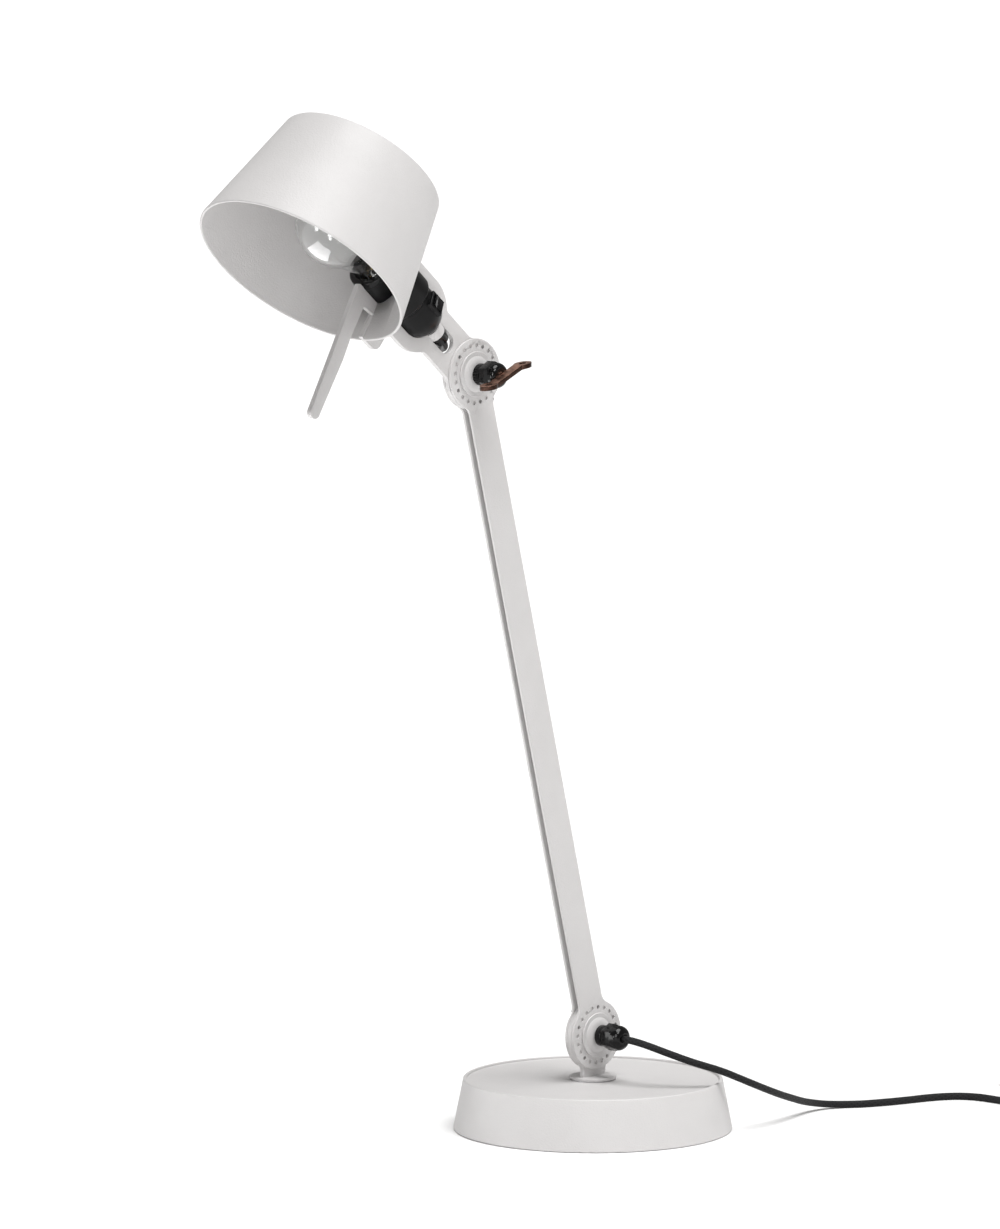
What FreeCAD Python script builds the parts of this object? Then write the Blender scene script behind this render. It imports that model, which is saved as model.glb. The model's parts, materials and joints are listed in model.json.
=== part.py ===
"""Swing arm desk lamp: a weighted base, a swivelling foot, a long arm of two flat plates and a tilting head.

Millimetres. +Z is up, the origin is the centre of the base's underside, the lamp leans towards -Y and
both hinge axes lie along X. Arm pieces are drawn upright on the lower hinge and head pieces are drawn
level, looking along -Y from the upper hinge, and both are then tilted into place.
"""

import FreeCAD, Part
import math
import os

Vector = FreeCAD.Vector
X_AXIS = Vector(1, 0, 0)
Y_AXIS = Vector(0, 1, 0)
Z_AXIS = Vector(0, 0, 1)
CENTRE = Vector(0, 0, 0)

# Overall pose and size
ARM_LENGTH = 496.6  # hinge to hinge
ARM_LEAN = 14.5  # degrees from upright, towards -Y
HEAD_RISE = 40.0  # degrees above level
LOWER_HINGE_HEIGHT = 68.3

# Base
BASE_BOTTOM_R = 100.0
BASE_TOP_R = 93.4
BASE_HEIGHT = 37.0
BASE_WALL = 2.0
LIP_WIDTH = 2.6
RECESS_DEPTH = 2.0
SHELL_LIFT = 0.8  # the shell's rim above the surface, so that the pad carries the lamp
PAD_THICKNESS = 2.0
COVER_THICKNESS = 2.0
COVER_GAP = 0.6
WEIGHT_THICKNESS = 18.0
WEIGHT_GAP = 0.5
WELL_R = 24.0
LEG_R = 7.0
LEG_CIRCLE_R = 66.0
COVER_SCREWS = 3
SCREW_R = 2.0
SCREW_HEAD_R = 4.0
SCREW_LENGTH = 12.0

# Foot
FLANGE_R = 16.8
FLANGE_THICKNESS = 2.0
SWIVEL_WASHER_R = 15.4
SWIVEL_WASHER_THICKNESS = 1.3
TAB_WIDTH = 22.6
STUD_R = 5.0
STUD_LENGTH = 24.0
RETAINER_R = 11.5
RETAINER_THICKNESS = 2.0
FOOT_NUT_FLATS = 17.0
FOOT_NUT_HEIGHT = 8.0

# Arm and hinge discs
PLATE_THICKNESS = 2.0
PLATE_GAP = 4.0
ARM_WIDTH = 24.0
DISC_R = 25.0
NECK_R = 9.0
HOLE_CIRCLE_R = 20.0
HOLE_COUNT = 20
HOLE_R = 1.5
THROUGH_EVERY = 4  # every fourth hole goes through, the rest are dimples
DIMPLE_DEPTH = 0.7
LOWER_RING_START = 72.0  # degrees from +Y, in the upright arm
UPPER_RING_START = -90.0
SIDE_CLEARANCE = 0.05  # between flat faces that turn on each other
RUNNING_CLEARANCE = 0.05  # radial, between a tube and what turns on it
POLE_R = 0.5  # the small flat at the top of a dome
SPACER_R = 3.5
SPACER_COUNT = 3
WIRE_GROOVE_WIDTH = 4.0
WIRE_GROOVE_DEPTH = 1.5
WIRE_R = 0.65
WIRE_OFFSET = 0.8

# Pivot tubes, cup washers, gland and clamp, along X
TUBE_R = 5.0
TUBE_BORE_R = 3.2
CUP_R = 15.5
CUP_HEIGHT = 4.5
CUP_WALL = 1.2
CUP_CROWN_R = 8.0
COLLAR_R = 7.7
COLLAR_LENGTH = 5.5
GROOVE_LENGTH = 1.5
GROOVE_R = 6.0
NUT_FLATS = 17.0
NUT_HEX_LENGTH = 8.5
GLAND_DOME_LENGTH = 7.0
GLAND_MOUTH_R = 5.0
GLAND_MOUTH_CLEARANCE = 0.5
CLAMP_DOME_LENGTH = 5.0
CLAMP_DOME_TOP_R = 6.0
REAR_NUT_R = 7.5
REAR_NUT_LENGTH = 6.5
RING_NUT_FLATS = 14.0
RING_NUT_LENGTH = 1.8
BUSH_WALL = 0.5
COLLAR_RIBS = 24

# Wing lever
LEVER_THICKNESS = 3.0
LEVER_WIDTH = 8.4
LEVER_END_R = 6.4
LEVER_EYE_R = 2.6
LEVER_BEND_R = 14.0
LEVER_LINE = [(-23.1, -7.9), (-12.5, -5.8), (12.5, 5.8), (23.1, 7.9)]  # (y, z) from the upper hinge
LEVER_STEM_R = 2.8
STEM_GAP = 1.0  # between the tube's end and the stem
LEVER_STEM_REACH = 1.0  # how far the stem runs into the blade

# Head plate, as (forward, up) from the upper hinge
NECK_HALF_WIDTH = 17.6
FORK_CENTRE = 70.3
FORK_R = 27.8
UPPER_PRONG_END = 107.5
SLOT_HALF_WIDTH = 7.1
SLOT_REAR_CENTRE = 35.1
SLOT_FRONT_R = 24.3
LEG_REAR = 85.0
LEG_FRONT = 103.0
LEG_BOTTOM = -46.5
LEG_CORNER_R = 6.0
HANDLE_FRONT_TOP = 128.7
HANDLE_BACK = [(114.7, -29.6), (111.4, -53.0), (107.4, -69.8), (101.0, -113.2)]
HANDLE_END_CENTRE = (105.3, -113.2)
HANDLE_END_R = 4.4

# Lampholder, distances forward from the upper hinge
BOSS_R = 7.0
BOSS_REAR = 45.5
HOLDER_STEP = 2.0  # by which the rear half is slimmer than the front
HOLDER_DOME_CENTRE = 70.0
HOLDER_WALL = 1.6
HOLDER_JOINT = 84.0
HOLDER_FRONT_R = 19.4
HOLDER_CHAMFER = 2.0
HOLDER_BODY_END = 122.0
HOLDER_FACE = 126.0
HOLDER_MOUTH_R = 15.0
HOLDER_BODY_WALL = 2.9
HOLDER_WEB = 4.0
INSERT_THICKNESS = 3.0
SCREW_SHELL_R = 14.1
SCREW_SHELL_WALL = 0.5
NIPPLE_REAR = 40.0
NIPPLE_FRONT = 62.0
HOLDER_NUT_REAR = 56.8
HOLDER_NUT_LENGTH = 3.5
RELIEF_TIP = 38.0
RELIEF_TIP_R = 5.5
LEAD_R = 2.4
LEAD_CLEARANCE = 0.1
LEAD_FIRST_BEND_R = 10.0
LEAD_REAR_BEND_R = 9.5

# Switch
SWITCH_FORWARD = 73.0
SWITCH_TURN = 20.0  # degrees up from +X, round the lampholder
SWITCH_HALF_LENGTH = 6.6
SWITCH_HALF_WIDTH = 6.2
SWITCH_STAND = 2.0  # of the frame above the lampholder's rear half
SWITCH_WALL = 1.5
ROCKER_HALF_LENGTH = 4.2
ROCKER_GAP = 0.3
ROCKER_PIVOT_DEPTH = 2.9  # below the frame's top, as are the next two
ROCKER_DIP = 0.1
ROCKER_DEPTH = 3.5
ROCKER_END_STAND = 1.2  # of the rocker's ends above the frame's top
ROCKER_TILT = 7.0
ROCKER_PIN_R = 0.6
ROCKER_PIN_LENGTH = 1.0  # how far a pin goes into the frame

# Shade
SHADE_AXIS = 176.5
SHADE_RIM_R = 77.0
SHADE_TOP_R = 61.7
SHADE_RIM = -47.0
SHADE_TOP = 45.0
SHADE_WALL = 1.2
SHADE_EDGE_R = 3.0
HOLDER_CLEARANCE = 0.2
SLIT_CLEARANCE = 0.1

# Bulb
BULB_TIP_CONTACT = 92.2
BULB_CENTRE = 168.0
BULB_R = 30.0
GLASS_WALL = 0.8
CAP_R = 13.1
CAP_RIDGE = 0.4
CAP_RIDGES = 5
CAP_PITCH = 3.6
CAP_REAR = 97.0
CAP_FRONT = 119.0
CAP_WALL = 0.5
NECK_GLASS_R = 14.3
NECK_START = 121.0
NECK_JOIN_R = 24.0
STEM_R = 3.2
STEM_RISE = 20.0
LEAD_WIRE_R = 0.45
FILAMENT_R = 0.3
FILAMENT_HALF_SPAN = 11.0
FILAMENT_TURNS = 8

# Cord
CORD_R = 2.6
CORD_ARC_SHARE = 0.45  # of the shorter run, which the bend at a corner takes
CORD_BORE_CLEARANCE = 0.1
CORD_ROUTE = [
    (17, 0, 68.3),
    (34, 0, 68.3),
    (49, 3, 65.8),
    (62, 11, 60.5),
    (76, 25, 53.2),
    (86, 42, 46.9),
    (90, 62, 38),
    (90, 84, 29.1),
    (86, 106, 21.3),
    (80, 126, 15.3),
    (74, 144, 10),
    (70, 160, 6.3),
    (70, 174, 3.6),
    (76, 186, 2.7),
    (85, 198, 2.6),
    (92, 214, 2.7),
    (97.5, 232, 2.6),
    (103, 254, 2.7),
    (112, 271, 2.6),
    (126, 279, 2.7),
    (143, 279.4, 2.6),
    (159.5, 279.4, 2.6),
]
COIL_CENTRE = (181.0, 314.6)
COIL_INNER_R = 22.0
COIL_OUTER_R = 38.0
COIL_HEIGHT = 15.0
COIL_CORNER_R = 3.0
TIE_WALL = 1.2
TIE_TURN = 18.0  # degrees of the coil that the tie covers
TIE_AT = -30.0
PLUG_REAR = 150.0
PLUG_LENGTH = 34.0
PLUG_WIDTH = 35.0
PLUG_HEIGHT = 14.0
PLUG_TAIL_LENGTH = 8.0
PLUG_TAIL_R = 4.2
PIN_R = 2.0
PIN_LENGTH = 19.0
PIN_SPACING = 18.6

# Worked out from the sizes above
HALF_GAP = PLATE_GAP / 2
OUTER_FACE = HALF_GAP + PLATE_THICKNESS
MIDDLE_HALF = HALF_GAP - SIDE_CLEARANCE
CUP_SEAT = OUTER_FACE + SIDE_CLEARANCE
CUP_TOP = CUP_SEAT + CUP_HEIGHT
COLLAR_END = CUP_TOP + COLLAR_LENGTH
NUT_START = COLLAR_END + GROOVE_LENGTH
NUT_END = NUT_START + NUT_HEX_LENGTH
GLAND_END = NUT_END + GLAND_DOME_LENGTH
CLAMP_END = NUT_END + CLAMP_DOME_LENGTH
CLAMP_TUBE_END = NUT_START + 4.5
RING_NUT_END = CUP_TOP + RING_NUT_LENGTH
RECESS_FLOOR = BASE_HEIGHT - RECESS_DEPTH
CEILING = RECESS_FLOOR - BASE_WALL
FLANGE_BOTTOM = RECESS_FLOOR + SWIVEL_WASHER_THICKNESS
FLANGE_TOP = FLANGE_BOTTOM + FLANGE_THICKNESS
COVER_TOP = PAD_THICKNESS + COVER_THICKNESS
WEIGHT_BOTTOM = CEILING - WEIGHT_THICKNESS
LOWER_HINGE = Vector(0, 0, LOWER_HINGE_HEIGHT)
UPPER_HINGE = LOWER_HINGE + Vector(
    0,
    -ARM_LENGTH * math.sin(math.radians(ARM_LEAN)),
    ARM_LENGTH * math.cos(math.radians(ARM_LEAN)),
)
LEAD_BORE_R = LEAD_R + LEAD_CLEARANCE
HOLDER_REAR_R = HOLDER_FRONT_R - HOLDER_STEP
HOLDER_BORE_R = HOLDER_FRONT_R - HOLDER_BODY_WALL
SWITCH_TOP = HOLDER_REAR_R + SWITCH_STAND
ROCKER_PIVOT = SWITCH_TOP - ROCKER_PIVOT_DEPTH
ROCKER_END_TOP = SWITCH_TOP + ROCKER_END_STAND
ROCKER_MIDDLE_TOP = SWITCH_TOP - ROCKER_DIP
ROCKER_BOTTOM = SWITCH_TOP - ROCKER_DEPTH
FORK_STEP = HOLDER_JOINT - HOLDER_CLEARANCE
FORK_GAP_FRONT = HOLDER_FRONT_R + HOLDER_CLEARANCE
FORK_GAP_REAR_R = HOLDER_REAR_R + HOLDER_CLEARANCE + 0.1
CORD_BORE_R = CORD_R + CORD_BORE_CLEARANCE


# Placing


def at_lower_hinge(shape):
    shape.translate(LOWER_HINGE)
    return shape


def at_upper_hinge(shape):
    shape.translate(UPPER_HINGE)
    return shape


def on_arm(shape):
    """Lean an upright arm piece and set it on the lower hinge."""
    shape.rotate(CENTRE, X_AXIS, ARM_LEAN)
    return at_lower_hinge(shape)


def on_head(shape):
    """Tip a level head piece up and set it on the upper hinge."""
    shape.rotate(CENTRE, X_AXIS, -HEAD_RISE)
    return at_upper_hinge(shape)


def along_x(shape):
    """Turn a shape made on the Z axis so that its +Z looks along +X."""
    shape.rotate(CENTRE, Y_AXIS, 90)
    return shape


def looking_forward(shape):
    """Turn a shape made on the Z axis so that its +Z looks along -Y."""
    shape.rotate(CENTRE, X_AXIS, 90)
    return shape


# Basic solids


def cylinder(radius, low, high, x=0.0, y=0.0):
    return Part.makeCylinder(radius, high - low, Vector(x, y, low))


def ring(outer, inner, low, high):
    return cylinder(outer, low, high).cut(cylinder(inner, low - 1, high + 1))


def rod_x(radius, x0, x1, y=0.0, z=0.0):
    return Part.makeCylinder(radius, x1 - x0, Vector(x0, y, z), X_AXIS)


def box(x0, x1, y0, y1, z0, z1):
    return Part.makeBox(x1 - x0, y1 - y0, z1 - z0, Vector(x0, y0, z0))


def head_box(half, f0, f1, up0, up1):
    """A block of the level head, between two distances forward."""
    return box(-half, half, -f1, -f0, up0, up1)


def head_rod(radius, half, forward, up):
    """A round of the level head, across X."""
    return rod_x(radius, -half, half, -forward, up)


def head_slab(points, half):
    """A flat plate of the level head from its (forward, up) corners."""
    corners = [Vector(-half, -forward, up) for forward, up in points]
    return Part.Face(Part.makePolygon(corners + corners[:1])).extrude(Vector(2 * half, 0, 0))


def hexagon(across_flats, low, high):
    radius = across_flats / math.sqrt(3)
    angles = [math.radians(60 * i) for i in range(6)]
    corners = [Vector(radius * math.cos(a), radius * math.sin(a), low) for a in angles]
    return Part.Face(Part.makePolygon(corners + corners[:1])).extrude(Vector(0, 0, high - low))


def spun(steps):
    """Revolve an outline of (radius, height) points about Z. A step of two points is an arc by way of
    the first to the second."""
    here = Vector(steps[0][0], 0, steps[0][1])
    start = here
    edges = []
    for step in steps[1:] + [steps[0]]:
        if isinstance(step, list):
            middle, end = (Vector(r, 0, h) for r, h in step)
            edges.append(Part.Arc(here, middle, end).toShape())
        else:
            end = Vector(step[0], 0, step[1])
            if end.distanceToPoint(here) > 1e-6:
                edges.append(Part.LineSegment(here, end).toShape())
        here = end
    if here.distanceToPoint(start) > 1e-6:
        edges.append(Part.LineSegment(here, start).toShape())
    return Part.Face(Part.Wire(edges)).revolve(CENTRE, Z_AXIS, 360)


def edges_at(shape, points):
    """The edges along X that pass through the given (y, z) points."""
    found = []
    for edge in shape.Edges:
        a, b = edge.Vertexes[0].Point, edge.Vertexes[-1].Point
        if abs(a.y - b.y) > 1e-4 or abs(a.z - b.z) > 1e-4 or abs(a.x - b.x) < 1e-3:
            continue
        if any(math.hypot(a.y - y, a.z - z) < 0.05 for y, z in points):
            found.append(edge)
    return found


def eased(shape, points, radius):
    """Round the edges along X that pass through the given (y, z) points."""
    return shape.makeFillet(radius, edges_at(shape, points))


def rounded_path(points, radius=None):
    """Straight runs joined by tangent arcs. Returns the wire, the arcs' radii and the length."""
    points = [Vector(*p) for p in points]
    edges = []
    radii = []
    here = points[0]
    for before, corner, after in zip(points, points[1:], points[2:]):
        back = (before - corner).normalize()
        ahead = (after - corner).normalize()
        half_turn = (math.pi - back.getAngle(ahead)) / 2
        shorter = min(before.distanceToPoint(corner), after.distanceToPoint(corner))
        arc_r = radius or CORD_ARC_SHARE * shorter / math.tan(half_turn)
        reach = arc_r * math.tan(half_turn)
        begin = corner + back * reach
        end = corner + ahead * reach
        inward = (back + ahead).normalize()
        middle = corner + inward * (arc_r / math.cos(half_turn) - arc_r)
        edges.append(Part.LineSegment(here, begin).toShape())
        edges.append(Part.Arc(begin, middle, end).toShape())
        radii.append(arc_r)
        here = end
    edges.append(Part.LineSegment(here, points[-1]).toShape())
    return Part.Wire(edges), radii, sum(edge.Length for edge in edges)


def swept(wire, section):
    return wire.makePipeShell([section], True, False)


def round_section(points, radius):
    start, after = Vector(*points[0]), Vector(*points[1])
    return Part.Wire(Part.makeCircle(radius, start, after - start))


def wire_run(points, radius):
    """A thin wire along straight runs, with a ball at each corner."""
    points = [Vector(*p) for p in points]
    runs = [
        Part.makeCylinder(radius, a.distanceToPoint(b), a, b - a)
        for a, b in zip(points, points[1:])
    ]
    balls = [Part.makeSphere(radius, p) for p in points[1:-1]]
    return runs[0].fuse(runs[1:] + balls) if len(points) > 2 else runs[0]


# Base


def base_radius(height):
    return BASE_BOTTOM_R + (BASE_TOP_R - BASE_BOTTOM_R) * height / BASE_HEIGHT


def leg_places():
    for i in range(COVER_SCREWS):
        angle = math.radians(90 + 360 * i / COVER_SCREWS)
        yield LEG_CIRCLE_R * math.cos(angle), LEG_CIRCLE_R * math.sin(angle)


def base_shell():
    lip_inner = BASE_TOP_R - LIP_WIDTH
    shell = spun(
        [
            (base_radius(SHELL_LIFT), SHELL_LIFT),
            (BASE_TOP_R, BASE_HEIGHT),
            (lip_inner, BASE_HEIGHT),
            (lip_inner, RECESS_FLOOR),
            (STUD_R + RUNNING_CLEARANCE, RECESS_FLOOR),
            (STUD_R + RUNNING_CLEARANCE, CEILING),
            (base_radius(CEILING) - BASE_WALL, CEILING),
            (base_radius(SHELL_LIFT) - BASE_WALL, SHELL_LIFT),
        ]
    )
    top_edges = [e for e in shell.Edges if e.BoundBox.ZMin > BASE_HEIGHT - 0.01]
    return shell.makeFillet(LIP_WIDTH * 0.4, top_edges)


def base_weight():
    inset = BASE_WALL + WEIGHT_GAP
    block = spun(
        [
            (WELL_R, WEIGHT_BOTTOM),
            (base_radius(WEIGHT_BOTTOM) - inset, WEIGHT_BOTTOM),
            (base_radius(CEILING) - inset, CEILING),
            (WELL_R, CEILING),
        ]
    )
    legs = [cylinder(LEG_R, COVER_TOP, WEIGHT_BOTTOM, x, y) for x, y in leg_places()]
    screw_end = PAD_THICKNESS + SCREW_LENGTH
    holes = [cylinder(SCREW_R, COVER_TOP, screw_end, x, y) for x, y in leg_places()]
    return block.fuse(legs).cut(holes)


def cover_radius():
    return base_radius(COVER_TOP) - BASE_WALL - COVER_GAP


def countersunk_screw(x, y):
    screw = spun(
        [
            (0, PAD_THICKNESS),
            (SCREW_HEAD_R, PAD_THICKNESS),
            (SCREW_R, COVER_TOP),
            (SCREW_R, PAD_THICKNESS + SCREW_LENGTH),
            (0, PAD_THICKNESS + SCREW_LENGTH),
        ]
    )
    screw.translate(Vector(x, y, 0))
    return screw


def base_cover_screws():
    return Part.Compound([countersunk_screw(x, y) for x, y in leg_places()])


def base_cover():
    cover = cylinder(cover_radius(), PAD_THICKNESS, COVER_TOP)
    return cover.cut([countersunk_screw(x, y) for x, y in leg_places()])


def rest_pad():
    return cylinder(cover_radius(), 0, PAD_THICKNESS)


# Foot


def swivel_washer():
    return ring(SWIVEL_WASHER_R, STUD_R, RECESS_FLOOR, FLANGE_BOTTOM)


def ring_places(start, through):
    """(y, z) of the holes of a hinge disc on the origin: those that go through, or the dimples."""
    for i in range(HOLE_COUNT):
        if (i % THROUGH_EVERY == 0) == through:
            angle = math.radians(start + 360 * i / HOLE_COUNT)
            yield HOLE_CIRCLE_R * math.cos(angle), HOLE_CIRCLE_R * math.sin(angle)


def index_holes(start, lift=0.0):
    places = ring_places(start, True)
    return [rod_x(HOLE_R, -DISC_R, DISC_R, y, z + lift) for y, z in places]


def dimples(start, side, lift=0.0):
    """Blind holes in the outer face of a plate that is centred on x = 0."""
    floor = PLATE_THICKNESS / 2 - DIMPLE_DEPTH
    low, high = sorted((side * floor, side * PLATE_THICKNESS))
    return [rod_x(HOLE_R, low, high, y, z + lift) for y, z in ring_places(start, False)]


def foot_bracket():
    """Round flange, upright tab and hinge disc, welded as one."""
    disc = rod_x(DISC_R, -MIDDLE_HALF, MIDDLE_HALF)
    tab_foot = FLANGE_TOP - LOWER_HINGE_HEIGHT
    half = TAB_WIDTH / 2
    upright = disc.fuse(box(-MIDDLE_HALF, MIDDLE_HALF, -half, half, tab_foot, 0)).removeSplitter()
    neck = -math.sqrt(DISC_R**2 - half**2)
    if tab_foot < neck - 1:
        neck_r = min(NECK_R, (neck - tab_foot) * 0.8)
        upright = eased(upright, [(half, neck), (-half, neck)], neck_r)
    flange = cylinder(FLANGE_R, FLANGE_BOTTOM, FLANGE_TOP)
    holes = index_holes(LOWER_RING_START + ARM_LEAN)
    upright = upright.cut(holes + [rod_x(TUBE_R, -DISC_R, DISC_R)])
    return at_lower_hinge(upright).fuse(flange)


def foot_stud():
    return cylinder(STUD_R, FLANGE_BOTTOM - STUD_LENGTH, FLANGE_BOTTOM)


def foot_retainer():
    return ring(RETAINER_R, STUD_R, CEILING - RETAINER_THICKNESS, CEILING)


def foot_nut():
    top = CEILING - RETAINER_THICKNESS
    nut = hexagon(FOOT_NUT_FLATS, top - FOOT_NUT_HEIGHT, top)
    return nut.cut(cylinder(STUD_R, top - FOOT_NUT_HEIGHT - 1, top + 1))


# Lower hinge and cord gland


def cup_washer(side):
    """A shallow dished washer that stands on the outer face of a hinge disc, on the +X or -X side."""
    dish = spun(
        [
            (CUP_R, 0),
            (CUP_R, CUP_WALL),
            [(CUP_R * 0.82, CUP_HEIGHT * 0.76), (CUP_CROWN_R, CUP_HEIGHT)],
            (TUBE_R, CUP_HEIGHT),
            (TUBE_R, CUP_HEIGHT - CUP_WALL),
            (CUP_CROWN_R, CUP_HEIGHT - CUP_WALL),
            [(CUP_R * 0.78, CUP_HEIGHT * 0.55), (CUP_R - CUP_WALL, 0)],
        ]
    )
    dish.translate(Vector(0, 0, CUP_SEAT))
    dish = along_x(dish)
    return dish if side > 0 else dish.mirror(CENTRE, X_AXIS)


def pivot_tube(x0, x1):
    return rod_x(TUBE_R, x0, x1).cut(rod_x(TUBE_BORE_R, x0 - 1, x1 + 1))


def lower_pivot_tube():
    """The hinge pin of the arm. Its window lets the wires through to the arm as the arm leans."""
    tube = pivot_tube(-CUP_TOP - REAR_NUT_LENGTH / 2, CUP_TOP + COLLAR_LENGTH / 2)
    window = box(-HALF_GAP - WIRE_GROOVE_DEPTH, -HALF_GAP, -DISC_R, DISC_R, 1, DISC_R)
    return at_lower_hinge(tube.cut(window))


def lower_cup_front():
    return at_lower_hinge(cup_washer(1))


def lower_cup_rear():
    return at_lower_hinge(cup_washer(-1))


def lower_rear_nut():
    """A low domed cap nut that closes the tube's far end."""
    flat = REAR_NUT_LENGTH * 0.6
    nut = spun(
        [
            (0, 0),
            (REAR_NUT_R, 0),
            (REAR_NUT_R, flat),
            [(REAR_NUT_R * 0.75, REAR_NUT_LENGTH * 0.88), (POLE_R, REAR_NUT_LENGTH)],
            (0, REAR_NUT_LENGTH),
        ]
    )
    nut = nut.cut(cylinder(TUBE_R, -1, REAR_NUT_LENGTH / 2))
    nut.translate(Vector(0, 0, CUP_TOP))
    return at_lower_hinge(along_x(nut).mirror(CENTRE, X_AXIS))


def gland_body():
    """The screwed body of the cord gland: a round collar, a groove and the spigot inside the nut."""
    collar = rod_x(COLLAR_R, CUP_TOP, COLLAR_END)
    spigot = rod_x(GROOVE_R, COLLAR_END, NUT_START + NUT_HEX_LENGTH / 2)
    tube_seat = rod_x(TUBE_R, CUP_TOP - 1, CUP_TOP + COLLAR_LENGTH / 2)
    bore = rod_x(CORD_BORE_R, CUP_TOP, NUT_END)
    return at_lower_hinge(collar.fuse(spigot).removeSplitter().cut([tube_seat, bore]))


def gland_seal():
    seal = rod_x(GROOVE_R, NUT_START + NUT_HEX_LENGTH / 2, NUT_END)
    return at_lower_hinge(seal.cut(rod_x(CORD_BORE_R, NUT_START, NUT_END + 1)))


def domed_nut(dome_length, top_r):
    """A hexagon that runs on into a dome, on the Z axis."""
    corner_r = NUT_FLATS / math.sqrt(3)
    dome = spun(
        [
            (0, NUT_START),
            (corner_r, NUT_START),
            (corner_r, NUT_END - 1),
            (corner_r - 0.9, NUT_END),
            [(corner_r * 0.86, NUT_END + dome_length * 0.55), (top_r, NUT_END + dome_length)],
            (0, NUT_END + dome_length),
        ]
    )
    prism = hexagon(NUT_FLATS, NUT_START, NUT_END + dome_length)
    return dome.common(prism)


def gland_nut():
    nut = along_x(domed_nut(GLAND_DOME_LENGTH, GLAND_MOUTH_R))
    chamber = rod_x(GROOVE_R, NUT_START - 1, NUT_END)
    mouth = rod_x(CORD_R + GLAND_MOUTH_CLEARANCE, NUT_START, GLAND_END + 1)
    return at_lower_hinge(nut.cut([chamber, mouth]))


def lower_wires():
    """The cord's two wires, from where the cord ends in the gland to the tube's window."""
    inner_end = -HALF_GAP - WIRE_GROOVE_DEPTH / 2
    cord_end = CORD_ROUTE[0][0]
    wires = [rod_x(WIRE_R, inner_end, cord_end, y) for y in (-WIRE_OFFSET, WIRE_OFFSET)]
    return at_lower_hinge(Part.Compound(wires))


# Arm


def arm_plate(side):
    """One flat arm plate, upright on the lower hinge: two hinge discs joined by a straight bar."""
    half = ARM_WIDTH / 2
    neck = math.sqrt(DISC_R**2 - half**2)
    thin = PLATE_THICKNESS / 2
    plate = rod_x(DISC_R, -thin, thin).fuse(
        [rod_x(DISC_R, -thin, thin, 0, ARM_LENGTH), box(-thin, thin, -half, half, 0, ARM_LENGTH)]
    )
    plate = plate.removeSplitter()
    corners = [(y, z) for y in (-half, half) for z in (neck, ARM_LENGTH - neck)]
    plate = eased(plate, corners, NECK_R)
    holes = [rod_x(TUBE_R + RUNNING_CLEARANCE, -DISC_R, DISC_R)]
    holes.append(rod_x(TUBE_R, -DISC_R, DISC_R, 0, ARM_LENGTH))
    holes += index_holes(LOWER_RING_START) + index_holes(UPPER_RING_START, ARM_LENGTH)
    holes += dimples(LOWER_RING_START, side) + dimples(UPPER_RING_START, side, ARM_LENGTH)
    plate = plate.cut(holes)
    plate.translate(Vector(side * (HALF_GAP + thin), 0, 0))
    return plate


def arm_plate_right():
    return on_arm(arm_plate(1))


def arm_plate_left():
    """The plate with the wires' groove in its inner face."""
    half = WIRE_GROOVE_WIDTH / 2
    groove = box(-HALF_GAP - WIRE_GROOVE_DEPTH, -HALF_GAP + 1, -half, half, 0, ARM_LENGTH)
    return on_arm(arm_plate(-1).cut(groove))


def arm_spacers():
    heights = [ARM_LENGTH * (i + 1) / (SPACER_COUNT + 1) for i in range(SPACER_COUNT)]
    return on_arm(Part.Compound([rod_x(SPACER_R, -HALF_GAP, HALF_GAP, 0, z) for z in heights]))


def arm_wires():
    x = -HALF_GAP - WIRE_GROOVE_DEPTH / 2
    low = TUBE_R + RUNNING_CLEARANCE * 2
    return on_arm(
        Part.Compound(
            [cylinder(WIRE_R, low, ARM_LENGTH - low, x, y) for y in (-WIRE_OFFSET, WIRE_OFFSET)]
        )
    )


# Upper hinge and clamp, all carried by the arm except the knob and its lever


def upper_pivot_tube():
    tube = pivot_tube(-RING_NUT_END, CLAMP_TUBE_END)
    port_x = -HALF_GAP - WIRE_GROOVE_DEPTH / 2
    port = cylinder(WIRE_GROOVE_DEPTH / 2, -DISC_R, 0, port_x, 0)
    port.rotate(CENTRE, X_AXIS, ARM_LEAN)
    return at_upper_hinge(tube.cut(port))


def upper_cup_front():
    return at_upper_hinge(cup_washer(1))


def upper_cup_rear():
    return at_upper_hinge(cup_washer(-1))


def upper_ring_nut():
    nut = hexagon(RING_NUT_FLATS, CUP_TOP, RING_NUT_END)
    nut = nut.cut(cylinder(TUBE_R, CUP_TOP - 1, RING_NUT_END + 1))
    return at_upper_hinge(along_x(nut).mirror(CENTRE, X_AXIS))


def lead_bush():
    """The plastic bush in the tube's end, in which the lampholder's lead turns."""
    flange = rod_x(TUBE_R, -RING_NUT_END - BUSH_WALL, -RING_NUT_END)
    sleeve = rod_x(TUBE_BORE_R, -RING_NUT_END, -CUP_SEAT)
    bush = flange.fuse(sleeve).removeSplitter()
    return at_upper_hinge(bush.cut(rod_x(LEAD_BORE_R, -RING_NUT_END - 1, 0)))


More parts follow.
